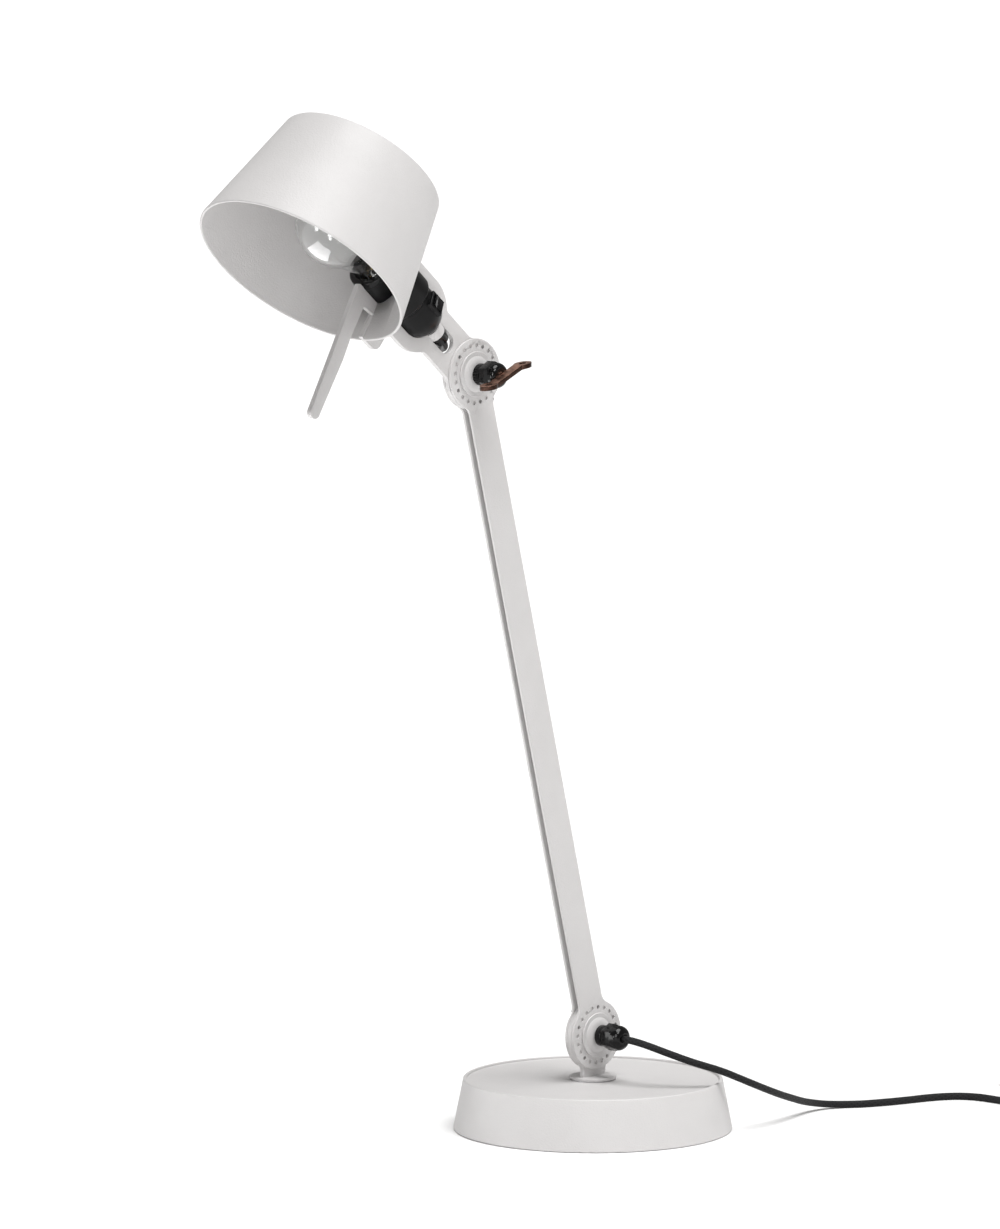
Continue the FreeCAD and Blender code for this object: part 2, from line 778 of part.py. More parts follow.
def clamp_collar():
    """The ribbed collar under the knob."""
    collar = cylinder(COLLAR_R, CUP_TOP, COLLAR_END)
    grooves = []
    for i in range(COLLAR_RIBS):
        angle = math.radians(360 * i / COLLAR_RIBS)
        x, y = COLLAR_R * math.cos(angle), COLLAR_R * math.sin(angle)
        grooves.append(cylinder(0.5, CUP_TOP + 0.8, COLLAR_END - 0.8, x, y))
    collar = collar.cut(grooves).fuse(cylinder(GROOVE_R, COLLAR_END, NUT_START - SIDE_CLEARANCE))
    collar = collar.cut(cylinder(TUBE_R, 0, NUT_END))
    return at_upper_hinge(along_x(collar))


def lever_blank():
    """The wing lever about the hinge axis: a bent strip with rounded, drilled ends, just clear of the knob."""
    middle = CLAMP_END + SIDE_CLEARANCE + LEVER_WIDTH / 2
    points = [(middle, y, z) for y, z in LEVER_LINE]
    wire, _, _ = rounded_path(points, radius=LEVER_BEND_R)
    start, after = Vector(*points[0]), Vector(*points[1])
    run = (after - start).normalize()
    across = X_AXIS * LEVER_END_R
    rise = run.cross(X_AXIS) * (LEVER_THICKNESS / 2)
    corners = [start + across + rise, start - across + rise, start - across - rise, start + across - rise]
    strip = swept(wire, Part.makePolygon(corners + corners[:1]))
    eyes = [LEVER_LINE[0][0] + LEVER_END_R, LEVER_LINE[-1][0] - LEVER_END_R]
    tall = 40
    half = LEVER_WIDTH / 2
    outline = box(middle - half, middle + half, eyes[0], eyes[1], -tall, tall)
    outline = outline.fuse([cylinder(LEVER_END_R, -tall, tall, middle, y) for y in eyes])
    return strip.common(outline).cut([cylinder(LEVER_EYE_R, -tall, tall, middle, y) for y in eyes])


def wing_lever():
    """The blade with the round stem that holds it in the knob."""
    stem_front = CLAMP_END + SIDE_CLEARANCE + LEVER_STEM_REACH
    stem = rod_x(LEVER_STEM_R, CLAMP_TUBE_END + STEM_GAP, stem_front)
    return at_upper_hinge(lever_blank().fuse(stem))


def clamp_knob():
    """The domed knob that screws on the tube and squeezes the hinge, bored for the lever's stem."""
    knob = along_x(domed_nut(CLAMP_DOME_LENGTH, CLAMP_DOME_TOP_R))
    thread = rod_x(TUBE_R + RUNNING_CLEARANCE, NUT_START - 1, CLAMP_TUBE_END + SIDE_CLEARANCE)
    bore = rod_x(LEVER_STEM_R + SIDE_CLEARANCE, CLAMP_TUBE_END + STEM_GAP - SIDE_CLEARANCE, CLAMP_END + 1)
    return at_upper_hinge(knob.cut([thread, bore]))


# Head plate


def head_plate():
    """One flat plate: hinge disc, neck with the lead's slot, fork, rear leg and long handle."""
    half = MIDDLE_HALF
    plate = head_rod(DISC_R, half, 0, 0).fuse(
        [
            head_box(half, 0, FORK_CENTRE - FORK_R * 0.7, -NECK_HALF_WIDTH, NECK_HALF_WIDTH),
            head_rod(FORK_R, half, FORK_CENTRE, 0),
            head_box(half, FORK_CENTRE, UPPER_PRONG_END, -FORK_R, FORK_R),
            head_box(half, LEG_REAR, LEG_FRONT, LEG_BOTTOM, -FORK_R + 1),
            head_slab(handle_outline(), half),
            head_rod(HANDLE_END_R, half, *HANDLE_END_CENTRE),
        ]
    )
    slot = head_box(half + 1, SLOT_REAR_CENTRE, FORK_CENTRE, -SLOT_HALF_WIDTH, SLOT_HALF_WIDTH)
    slot = slot.fuse(head_rod(SLOT_HALF_WIDTH, half + 1, SLOT_REAR_CENTRE, 0))
    slot = slot.cut(head_rod(SLOT_FRONT_R, half + 2, FORK_CENTRE, 0))
    gap = [
        head_rod(FORK_GAP_REAR_R, half + 1, FORK_CENTRE, 0),
        head_box(half + 1, FORK_CENTRE, FORK_STEP, -FORK_GAP_REAR_R, FORK_GAP_REAR_R),
        head_box(half + 1, FORK_STEP, HANDLE_FRONT_TOP + 1, -FORK_GAP_FRONT, FORK_GAP_FRONT),
    ]
    plate = plate.removeSplitter().cut([slot] + gap).removeSplitter()
    disc_neck = math.sqrt(DISC_R**2 - NECK_HALF_WIDTH**2)
    fork_neck = FORK_CENTRE - math.sqrt(FORK_R**2 - NECK_HALF_WIDTH**2)
    sides = (-NECK_HALF_WIDTH, NECK_HALF_WIDTH)
    plate = eased(plate, [(-disc_neck, up) for up in sides], NECK_R)
    plate = eased(plate, [(-fork_neck, up) for up in sides], NECK_R / 2)
    plate = eased(plate, [(-LEG_REAR, LEG_BOTTOM)], LEG_CORNER_R)
    plate = eased(plate, [(-HANDLE_FRONT_TOP, -FORK_GAP_FRONT)], 1.5)
    plate = plate.cut(looking_forward(cylinder(BOSS_R, BOSS_REAR, FORK_CENTRE)))
    holes = index_holes(UPPER_RING_START + ARM_LEAN + HEAD_RISE)
    plate = plate.cut(holes + [head_rod(TUBE_R + RUNNING_CLEARANCE, half + 1, 0, 0)])
    return on_head(plate)


def handle_outline():
    end_f, end_up = HANDLE_END_CENTRE
    top = [(LEG_FRONT - 1, -FORK_GAP_FRONT), (HANDLE_FRONT_TOP, -FORK_GAP_FRONT)]
    bottom = [(end_f + HANDLE_END_R * 0.98, end_up - HANDLE_END_R * 0.2)]
    return top + bottom + HANDLE_BACK[::-1] + [(LEG_FRONT - 1, -FORK_R)]


# Lampholder


def holder_boss():
    """The white round that is welded in the plate's bridge and takes the nipple."""
    front = FORK_CENTRE - FORK_GAP_REAR_R - SLIT_CLEARANCE
    return on_head(looking_forward(ring(BOSS_R, TUBE_R, BOSS_REAR, front)))


def holder_nipple():
    return on_head(looking_forward(ring(TUBE_R, TUBE_BORE_R, NIPPLE_REAR, NIPPLE_FRONT)))


def holder_nut():
    nut = hexagon(FOOT_NUT_FLATS - 2, HOLDER_NUT_REAR, HOLDER_NUT_REAR + HOLDER_NUT_LENGTH)
    return on_head(looking_forward(nut.cut(cylinder(TUBE_R, 0, HOLDER_DOME_CENTRE))))


def strain_relief():
    sleeve = spun(
        [
            (LEAD_BORE_R, RELIEF_TIP),
            (RELIEF_TIP_R, RELIEF_TIP),
            (BOSS_R, BOSS_REAR),
            (TUBE_R, BOSS_REAR),
            (TUBE_R, NIPPLE_REAR),
            (LEAD_BORE_R, NIPPLE_REAR),
        ]
    )
    return on_head(looking_forward(sleeve))


def holder_lead():
    """The short lead: out of the relief, round behind the plate and into the hinge tube's far end."""
    bush_end = -RING_NUT_END - BUSH_WALL
    offset = -bush_end + LEAD_REAR_BEND_R
    first = RELIEF_TIP - LEAD_FIRST_BEND_R
    points = [
        (0, -NIPPLE_FRONT, 0),
        (0, -first, 0),
        (-offset, -first, 0),
        (-offset, 0, 0),
        (-CUP_TOP, 0, 0),
    ]
    radii = [LEAD_FIRST_BEND_R, offset - LEAD_FIRST_BEND_R, LEAD_REAR_BEND_R]
    edges = []
    here = Vector(*points[0])
    for corner, before, after, radius in zip(points[1:], points, points[2:], radii):
        corner = Vector(*corner)
        back = (Vector(*before) - corner).normalize()
        ahead = (Vector(*after) - corner).normalize()
        begin, end = corner + back * radius, corner + ahead * radius
        middle = corner + (back + ahead) * (radius * (1 - math.sqrt(0.5)))
        if begin.distanceToPoint(here) > 1e-6:
            edges.append(Part.LineSegment(here, begin).toShape())
        edges.append(Part.Arc(begin, middle, end).toShape())
        here = end
    edges.append(Part.LineSegment(here, Vector(*points[-1])).toShape())
    return on_head(swept(Part.Wire(edges), round_section(points, LEAD_R)))


def dome_height(radius, r):
    """How far forward a dome about the lampholder's dome centre stands at radius r."""
    return HOLDER_DOME_CENTRE - math.sqrt(radius**2 - r**2)


def switch_frame(shape):
    """Turn a piece drawn on the +X side of the lampholder up to where the switch sits."""
    shape.rotate(CENTRE, Y_AXIS, -SWITCH_TURN)
    return shape


def rocker_half_width():
    return SWITCH_HALF_WIDTH - SWITCH_WALL - ROCKER_GAP


def rocker_opening_half():
    """Half the opening's length: room for the rocker's corner over its whole swing, and the gap."""
    rise = ROCKER_END_TOP - ROCKER_PIVOT
    reach = math.hypot(ROCKER_HALF_LENGTH, rise)
    swing = math.atan2(rise, ROCKER_HALF_LENGTH) - math.radians(ROCKER_TILT)
    return reach * math.cos(swing) + ROCKER_GAP


def rocker_pins(clearance=0.0):
    """The rocker's pins, from side to side, or with a clearance the bore that they turn in."""
    reach = SWITCH_HALF_WIDTH - SWITCH_WALL + ROCKER_PIN_LENGTH + clearance
    pins = cylinder(ROCKER_PIN_R + clearance, -reach, reach)
    pins.translate(Vector(ROCKER_PIVOT, -SWITCH_FORWARD, 0))
    return pins


def holder_cap():
    """The domed rear half of the lampholder, with the switch's raised frame."""
    inner = HOLDER_REAR_R - HOLDER_WALL
    halfway = inner * math.sqrt(0.5)
    outer_halfway = HOLDER_REAR_R * math.sqrt(0.5)
    cap = spun(
        [
            (TUBE_R, dome_height(HOLDER_REAR_R, TUBE_R)),
            [(outer_halfway, HOLDER_DOME_CENTRE - outer_halfway), (HOLDER_REAR_R, HOLDER_DOME_CENTRE)],
            (HOLDER_REAR_R, HOLDER_JOINT),
            (inner, HOLDER_JOINT),
            (inner, HOLDER_DOME_CENTRE),
            [(halfway, HOLDER_DOME_CENTRE - halfway), (TUBE_R, dome_height(inner, TUBE_R))],
        ]
    )
    cap = looking_forward(cap)
    rear, front = SWITCH_FORWARD - SWITCH_HALF_LENGTH, SWITCH_FORWARD + SWITCH_HALF_LENGTH
    frame = box(inner - 2, SWITCH_TOP, -front, -rear, -SWITCH_HALF_WIDTH, SWITCH_HALF_WIDTH)
    frame = frame.makeFillet(0.6, [e for e in frame.Edges if e.BoundBox.XMin > SWITCH_TOP - 0.01])
    hollow = looking_forward(cylinder(inner, HOLDER_DOME_CENTRE - SWITCH_HALF_LENGTH, HOLDER_JOINT))
    cap = cap.fuse(switch_frame(frame.cut(hollow)))
    long_half = rocker_opening_half()
    wide_half = SWITCH_HALF_WIDTH - SWITCH_WALL
    opening = box(
        0, SWITCH_TOP + 1, -SWITCH_FORWARD - long_half, -SWITCH_FORWARD + long_half, -wide_half, wide_half
    )
    return on_head(cap.cut([switch_frame(opening), switch_frame(rocker_pins(RUNNING_CLEARANCE))]))


def switch_rocker():
    """The rocker, drawn level and then tipped to the side that it rests on."""
    wide = rocker_half_width()
    long = ROCKER_HALF_LENGTH
    corners = [
        Vector(ROCKER_BOTTOM, -long, -wide),
        Vector(ROCKER_END_TOP, -long, -wide),
        Vector(ROCKER_MIDDLE_TOP, 0, -wide),
        Vector(ROCKER_END_TOP, long, -wide),
        Vector(ROCKER_BOTTOM, long, -wide),
    ]
    rocker = Part.Face(Part.makePolygon(corners + corners[:1])).extrude(Vector(0, 0, 2 * wide))
    rocker.rotate(Vector(ROCKER_PIVOT, 0, 0), Z_AXIS, ROCKER_TILT)
    rocker.translate(Vector(0, -SWITCH_FORWARD, 0))
    return on_head(switch_frame(rocker.fuse(rocker_pins())))


def holder_body():
    web_end = HOLDER_JOINT + HOLDER_WEB
    body = spun(
        [
            (SCREW_SHELL_R - 2, HOLDER_JOINT),
            (HOLDER_REAR_R, HOLDER_JOINT),
            (HOLDER_FRONT_R, HOLDER_JOINT + HOLDER_CHAMFER),
            (HOLDER_FRONT_R, HOLDER_BODY_END),
            (HOLDER_BORE_R, HOLDER_BODY_END),
            (HOLDER_BORE_R, web_end),
            (SCREW_SHELL_R - 2, web_end),
        ]
    )
    return on_head(looking_forward(body))


def holder_ring():
    collar = spun(
        [
            (HOLDER_MOUTH_R, HOLDER_BODY_END),
            (HOLDER_FRONT_R, HOLDER_BODY_END),
            (HOLDER_FRONT_R, HOLDER_FACE - 0.8),
            (HOLDER_FRONT_R - 0.8, HOLDER_FACE),
            (HOLDER_MOUTH_R, HOLDER_FACE),
        ]
    )
    return on_head(looking_forward(collar))


def insert_front():
    return HOLDER_JOINT + HOLDER_WEB + INSERT_THICKNESS


def holder_insert():
    rear = HOLDER_JOINT + HOLDER_WEB
    return on_head(looking_forward(cylinder(HOLDER_BORE_R, rear, insert_front())))


def holder_shell():
    inner = SCREW_SHELL_R - SCREW_SHELL_WALL
    return on_head(looking_forward(ring(SCREW_SHELL_R, inner, insert_front(), CAP_FRONT)))


def centre_contact():
    contact = cylinder(3.0, insert_front(), BULB_TIP_CONTACT)
    return on_head(looking_forward(contact))


# Bulb


def bulb_cap():
    """The screw cap: a thin sleeve with rounded ridges."""
    steps = [(CAP_R - CAP_WALL, CAP_REAR), (CAP_R, CAP_REAR)]
    for i in range(CAP_RIDGES):
        low = CAP_REAR + 1 + i * CAP_PITCH
        steps.append((CAP_R, low))
        steps.append([(CAP_R + CAP_RIDGE, low + CAP_PITCH / 2), (CAP_R, low + CAP_PITCH)])
    steps += [(CAP_R, CAP_FRONT), (CAP_R - CAP_WALL, CAP_FRONT)]
    return on_head(looking_forward(spun(steps)))


def bulb_insulator():
    cone = spun(
        [
            (0, BULB_TIP_CONTACT + 1),
            (5.0, BULB_TIP_CONTACT + 1),
            (CAP_R - CAP_WALL, CAP_REAR),
            (CAP_R - CAP_WALL, CAP_REAR + 1.5),
            (0, CAP_REAR + 1.5),
        ]
    )
    return on_head(looking_forward(cone))


def bulb_tip():
    return on_head(looking_forward(cylinder(4.6, BULB_TIP_CONTACT, BULB_TIP_CONTACT + 1)))


def glass_outline(inset):
    """One skin of the glass, from its neck to its tip: a straight neck, a waist and a ball."""
    neck_r = CAP_R - CAP_WALL - inset
    waist_r = NECK_GLASS_R - inset
    ball_r = BULB_R - inset
    join_r = NECK_JOIN_R * ball_r / BULB_R
    join = BULB_CENTRE - math.sqrt(ball_r**2 - join_r**2)
    rise = math.atan2(join_r - waist_r, join - NECK_START)
    chord = math.hypot(join_r - waist_r, join - NECK_START)
    sag = chord / 2 * math.tan(rise / 2)
    waist = (
        (waist_r + join_r) / 2 - sag * math.cos(rise),
        (NECK_START + join) / 2 + sag * math.sin(rise),
    )
    side = math.sqrt(0.5) * ball_r
    return [
        (neck_r, CAP_FRONT - 3),
        (neck_r, CAP_FRONT),
        (waist_r, NECK_START),
        [waist, (join_r, join)],
        [(ball_r, BULB_CENTRE), (side, BULB_CENTRE + side)],
        [(ball_r * 0.382, BULB_CENTRE + ball_r * 0.924), (POLE_R, BULB_CENTRE + ball_r)],
        (0, BULB_CENTRE + ball_r),
    ]


def bulb_glass():
    solids = []
    for inset in (0, GLASS_WALL):
        outline = glass_outline(inset)
        neck_r, neck_end = outline[0]
        solids.append(spun([(0, neck_end - inset), (neck_r, neck_end - inset)] + outline[1:]))
    return on_head(looking_forward(solids[0].cut(solids[1])))


def bulb_stem():
    """The glass mount that closes the neck and carries the filament."""
    flare = CAP_R - CAP_WALL - GLASS_WALL
    stem = spun(
        [
            (0, CAP_FRONT - 3),
            (flare, CAP_FRONT - 3),
            (flare, CAP_FRONT - 2),
            [(flare * 0.45, CAP_FRONT + 2), (STEM_R, CAP_FRONT + STEM_RISE / 2)],
            (STEM_R, CAP_FRONT + STEM_RISE),
            (0, CAP_FRONT + STEM_RISE),
        ]
    )
    return on_head(looking_forward(stem))


def bulb_filament():
    """Two stiff lead wires and the filament between their tips."""
    root = CAP_FRONT + STEM_RISE + LEAD_WIRE_R
    tip = BULB_CENTRE - 4
    span = FILAMENT_HALF_SPAN
    leads = []
    for side in (-1, 1):
        leads.append(wire_run([(side * STEM_R * 0.7, -root, 0), (side * span, -tip, 0)], LEAD_WIRE_R))
    zigzag = []
    for i in range(FILAMENT_TURNS + 1):
        share = i / FILAMENT_TURNS
        swing = 0 if i in (0, FILAMENT_TURNS) else 1.5 * (-1) ** i
        forward = tip + LEAD_WIRE_R + 4 * math.sin(math.pi * share)
        zigzag.append((span * (2 * share - 1), -forward, swing))
    return on_head(Part.Compound(leads + [wire_run(zigzag, FILAMENT_R)]))


# Shade


def shade_radius(up, inset=0.0):
    slope = (SHADE_TOP_R - SHADE_RIM_R) / (SHADE_TOP - SHADE_RIM)
    return SHADE_RIM_R + slope * (up - SHADE_RIM) - inset


def shade():
    """A short cone, open below and closed above. The lampholder and the plate pass its rear wall."""
    cone = Part.makeCone(SHADE_RIM_R, SHADE_TOP_R, SHADE_TOP - SHADE_RIM, Vector(0, 0, SHADE_RIM))
    cone = cone.makeFillet(SHADE_EDGE_R, [e for e in cone.Edges if e.BoundBox.ZMin > SHADE_TOP - 0.01])
    inner_top = SHADE_TOP - SHADE_WALL
    inner_rim_r = shade_radius(SHADE_RIM, SHADE_WALL)
    inner_top_r = shade_radius(inner_top, SHADE_WALL)
    hollow = Part.makeCone(inner_rim_r, inner_top_r, inner_top - SHADE_RIM, Vector(0, 0, SHADE_RIM))
    inner_edge = [e for e in hollow.Edges if e.BoundBox.ZMin > inner_top - 0.01]
    hollow = hollow.makeFillet(SHADE_EDGE_R - SHADE_WALL, inner_edge)
    shell = cone.cut(hollow)
    shell.translate(Vector(0, -SHADE_AXIS, 0))
    bore = looking_forward(cylinder(HOLDER_FRONT_R + HOLDER_CLEARANCE, HOLDER_JOINT, SHADE_AXIS))
    slit_half = MIDDLE_HALF + SLIT_CLEARANCE
    slit = head_box(slit_half, HOLDER_JOINT, SHADE_AXIS, SHADE_RIM - 1, -HOLDER_REAR_R)
    return on_head(shell.cut([bore, slit]))


# Cord


def cord():
    wire, radii, length = rounded_path(CORD_ROUTE)
    tube = swept(wire, round_section(CORD_ROUTE, CORD_R))
    ideal = math.pi * CORD_R**2 * length
    print("cord radii", [round(r) for r in radii])
    print("cord length", round(length, 1), "volume over section times length", round(tube.Volume / ideal, 5))
    return tube


def coil_band(inner, outer, low, high, turn, start=0.0):
    """Part of a ring of the coil's shape, over some degrees."""
    corners = [Vector(inner, 0, low), Vector(outer, 0, low), Vector(outer, 0, high), Vector(inner, 0, high)]
    band = Part.Face(Part.makePolygon(corners + corners[:1])).revolve(CENTRE, Z_AXIS, turn)
    band.rotate(CENTRE, Z_AXIS, start)
    band.translate(Vector(*COIL_CENTRE, 0))
    return band


def coil_tie():
    """A flat tie round the coil, its underside let into the coil so that both lie on the surface."""
    outer = coil_band(
        COIL_INNER_R - TIE_WALL, COIL_OUTER_R + TIE_WALL, 0, COIL_HEIGHT + TIE_WALL, TIE_TURN, TIE_AT
    )
    return outer.cut(coil_band(COIL_INNER_R, COIL_OUTER_R, TIE_WALL, COIL_HEIGHT, 360))


def cord_coil():
    """The outer shape of the wound part of the cord, with the short ends that run into it."""
    ring_solid = coil_band(COIL_INNER_R, COIL_OUTER_R, 0, COIL_HEIGHT, 360)
    ring_solid = ring_solid.makeFillet(COIL_CORNER_R, ring_solid.Edges)
    entry_x, entry_y, entry_z = CORD_ROUTE[-1]
    entry = rod_x(CORD_R, entry_x, COIL_CENTRE[0], entry_y, entry_z)
    leave = rod_x(CORD_R, PLUG_REAR + PLUG_TAIL_LENGTH, COIL_CENTRE[0], plug_y(), PLUG_HEIGHT / 2)
    return ring_solid.fuse([entry, leave]).cut(coil_tie())


def plug_y():
    return COIL_CENTRE[1] + COIL_OUTER_R - CORD_R


def plug_body():
    """A flat two-pin plug: a body that narrows to a round tail."""
    front = PLUG_REAR - PLUG_LENGTH
    half = PLUG_WIDTH / 2
    outline = [
        (front, -half),
        (front + PLUG_LENGTH * 0.45, -half),
        (PLUG_REAR, -PLUG_TAIL_R * 1.3),
        (PLUG_REAR, PLUG_TAIL_R * 1.3),
        (front + PLUG_LENGTH * 0.45, half),
        (front, half),
    ]
    corners = [Vector(x, y, 0) for x, y in outline]
    body = Part.Face(Part.makePolygon(corners + corners[:1])).extrude(Vector(0, 0, PLUG_HEIGHT))
    upright = [e for e in body.Edges if e.BoundBox.ZLength > 1]
    body = body.makeFillet(2.0, upright)
    flat = [e for e in body.Edges if e.BoundBox.ZLength < 0.01]
    body = body.makeFillet(1.2, flat)
    tail = rod_x(PLUG_TAIL_R, PLUG_REAR - 1, PLUG_REAR + PLUG_TAIL_LENGTH, 0, PLUG_HEIGHT / 2)
    body = body.fuse(tail)
    body.translate(Vector(0, plug_y(), 0))
    return body


def plug_pins():
    front = PLUG_REAR - PLUG_LENGTH
    offset = PIN_SPACING / 2
    pins = []
    for y in (plug_y() - offset, plug_y() + offset):
        pin = rod_x(PIN_R, front - PIN_LENGTH, front, y, PLUG_HEIGHT / 2)
        tip = [e for e in pin.Edges if e.BoundBox.XMax < front - PIN_LENGTH + 0.01]
        pins.append(pin.makeFillet(PIN_R * 0.6, tip))
    return Part.Compound(pins)


PIECES = [
    rest_pad,
    base_cover,
    base_cover_screws,
    base_weight,
    base_shell,
    swivel_washer,
    foot_bracket,
    foot_stud,
    foot_retainer,
    foot_nut,
    lower_pivot_tube,
    lower_cup_front,
    lower_cup_rear,
    lower_rear_nut,
    lower_wires,
    gland_body,
    gland_seal,
    gland_nut,
    arm_plate_right,
    arm_plate_left,
    arm_spacers,
    arm_wires,
    upper_pivot_tube,
    upper_cup_front,
    upper_cup_rear,
    upper_ring_nut,
    lead_bush,
    clamp_collar,
    clamp_knob,
    wing_lever,
    head_plate,
    holder_boss,
    holder_nipple,
    holder_nut,
    strain_relief,
    holder_lead,
    holder_cap,
    switch_rocker,
    holder_body,
    holder_ring,
    holder_insert,
    holder_shell,
    centre_contact,
    bulb_cap,
    bulb_insulator,
    bulb_tip,
    bulb_glass,
    bulb_stem,
    bulb_filament,
    shade,
    cord,
    cord_coil,
    coil_tie,
    plug_body,
    plug_pins,
]

os.makedirs("parts", exist_ok=True)
for piece in PIECES:
    shape = piece()
    if not shape.isValid():
        raise ValueError(piece.__name__ + " is not a valid shape")
    shape.exportStep("parts/" + piece.__name__ + ".step")
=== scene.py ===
"""Swing arm desk lamp: the looks of the packed model, laid out as an add-on and run as a script.

Every piece is made in metres where the CAD model puts it. Outlines are in millimetres, as on a drawing.
"""

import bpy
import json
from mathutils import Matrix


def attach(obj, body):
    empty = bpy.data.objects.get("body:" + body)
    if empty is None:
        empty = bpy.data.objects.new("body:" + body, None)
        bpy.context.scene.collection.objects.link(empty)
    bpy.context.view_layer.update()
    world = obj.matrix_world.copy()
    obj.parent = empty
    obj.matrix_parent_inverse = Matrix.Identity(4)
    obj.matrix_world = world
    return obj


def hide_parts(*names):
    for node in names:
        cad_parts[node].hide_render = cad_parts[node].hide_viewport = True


bl_info = {
    "name": "Swing arm desk lamp",
    "version": (1, 0, 0),
    "blender": (4, 5, 0),
    "location": "View3D > Sidebar > Desk lamp",
    "description": "Builds the lamp's painted plates, shade, lampholder, bulb, hinges and cord",
    "category": "Object",
}

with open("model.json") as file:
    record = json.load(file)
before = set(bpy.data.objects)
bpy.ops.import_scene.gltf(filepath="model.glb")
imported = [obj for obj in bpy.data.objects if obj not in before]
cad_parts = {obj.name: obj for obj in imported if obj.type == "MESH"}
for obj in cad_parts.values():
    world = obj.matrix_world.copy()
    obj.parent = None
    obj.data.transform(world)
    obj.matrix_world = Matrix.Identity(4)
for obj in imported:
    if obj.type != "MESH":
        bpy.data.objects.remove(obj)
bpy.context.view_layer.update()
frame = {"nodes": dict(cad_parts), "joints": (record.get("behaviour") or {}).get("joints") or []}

import json
import math

import bmesh
import bpy
from mathutils import Matrix, Vector

MM = 0.001
SPECK = 0.001 * MM  # corners nearer than this are one corner
RING_INNER = 17.5  # the ring of holes round each hinge lies between these radii, in millimetres
RING_OUTER = 22.5
HOLE_SIDE = 1.2  # longer than any side of a hole's outline, in millimetres
HOLE_AREA = 8.0  # larger than the floor of a hole, in square millimetres
DIMPLE_EXTRA = 0.5  # how much deeper the holes are than in the CAD model, in millimetres
CORNER_STEPS = 6
X = Vector((1, 0, 0))
Y = Vector((0, 1, 0))
AT_ORIGIN = Matrix.Identity(4)
joint_at = {joint["name"]: Vector(joint.get("pos_m", (0, 0, 0))) for joint in frame["joints"]}
LOWER = joint_at["arm_tilt"]
UPPER = joint_at["head_tilt"]


# Settings


class LampPaintSettings(bpy.types.PropertyGroup):
    """Colours and finishes of the lamp"""

    paint: bpy.props.FloatVectorProperty(
        name="Paint", description="Colour of the powder coat", subtype="COLOR", size=3,
        default=(0.63, 0.617, 0.614),
    )
    paint_roughness: bpy.props.FloatProperty(
        name="Paint roughness", description="How matt the powder coat is", subtype="FACTOR", default=0.5
    )
    nylon: bpy.props.FloatVectorProperty(
        name="Nylon", description="Colour of the glands, the knob and the plug", subtype="COLOR", size=3,
        default=(0.0022, 0.0022, 0.0024),
    )
    holder: bpy.props.FloatVectorProperty(
        name="Holder", description="Colour of the lampholder", subtype="COLOR", size=3,
        default=(0.0028, 0.0028, 0.0031),
    )
    copper: bpy.props.FloatVectorProperty(
        name="Copper", description="Colour of the worn high spots of the lever", subtype="COLOR", size=3,
        default=(0.66, 0.38, 0.28),
    )
    cloth: bpy.props.FloatVectorProperty(
        name="Cord cloth", description="Colour of the cord's braid", subtype="COLOR", size=3,
        default=(0.0055, 0.0055, 0.006),
    )


class LampHeadSettings(bpy.types.PropertyGroup):
    """Sizes of the shade, the lampholder and the bulb"""

    rise: bpy.props.FloatProperty(
        name="Rise", description="How far the head is tipped up", subtype="ANGLE", default=math.radians(40)
    )
    shade_axis: bpy.props.FloatProperty(
        name="Shade axis", description="Distance forward from the hinge", unit="LENGTH", default=0.1765
    )
    rim_radius: bpy.props.FloatProperty(
        name="Rim radius", description="Outer radius of the shade's open rim", unit="LENGTH", default=0.077
    )
    top_radius: bpy.props.FloatProperty(
        name="Top radius", description="Outer radius of the closed top", unit="LENGTH", default=0.0617
    )
    rim: bpy.props.FloatProperty(
        name="Rim", description="Height of the rim on the shade's axis", unit="LENGTH", default=-0.047
    )
    top: bpy.props.FloatProperty(
        name="Top", description="Height of the top on the shade's axis", unit="LENGTH", default=0.045
    )
    wall: bpy.props.FloatProperty(
        name="Wall", description="Thickness of the shade's sheet", unit="LENGTH", default=0.0012
    )
    bore_radius: bpy.props.FloatProperty(
        name="Bore radius", description="Opening for the lampholder", unit="LENGTH", default=0.0196
    )
    slit: bpy.props.FloatProperty(
        name="Slit", description="Width of the slit for the head plate", unit="LENGTH", default=0.0041
    )
    bulb_radius: bpy.props.FloatProperty(
        name="Bulb radius", description="Radius of the bulb's ball", unit="LENGTH", default=0.03
    )


class LampCordSettings(bpy.types.PropertyGroup):
    """Sizes of the cord"""

    diameter: bpy.props.FloatProperty(
        name="Diameter", description="Diameter over the braid", unit="LENGTH", default=0.0052
    )
    coil_turns: bpy.props.IntProperty(name="Coil turns", description="Turns wound on the coil", default=7)
    coil_inner: bpy.props.FloatProperty(
        name="Coil inner radius", description="Radius of the coil's inner row", unit="LENGTH", default=0.0246
    )
    points_per_turn: bpy.props.IntProperty(
        name="Points a turn", description="Route points in a turn", default=12
    )


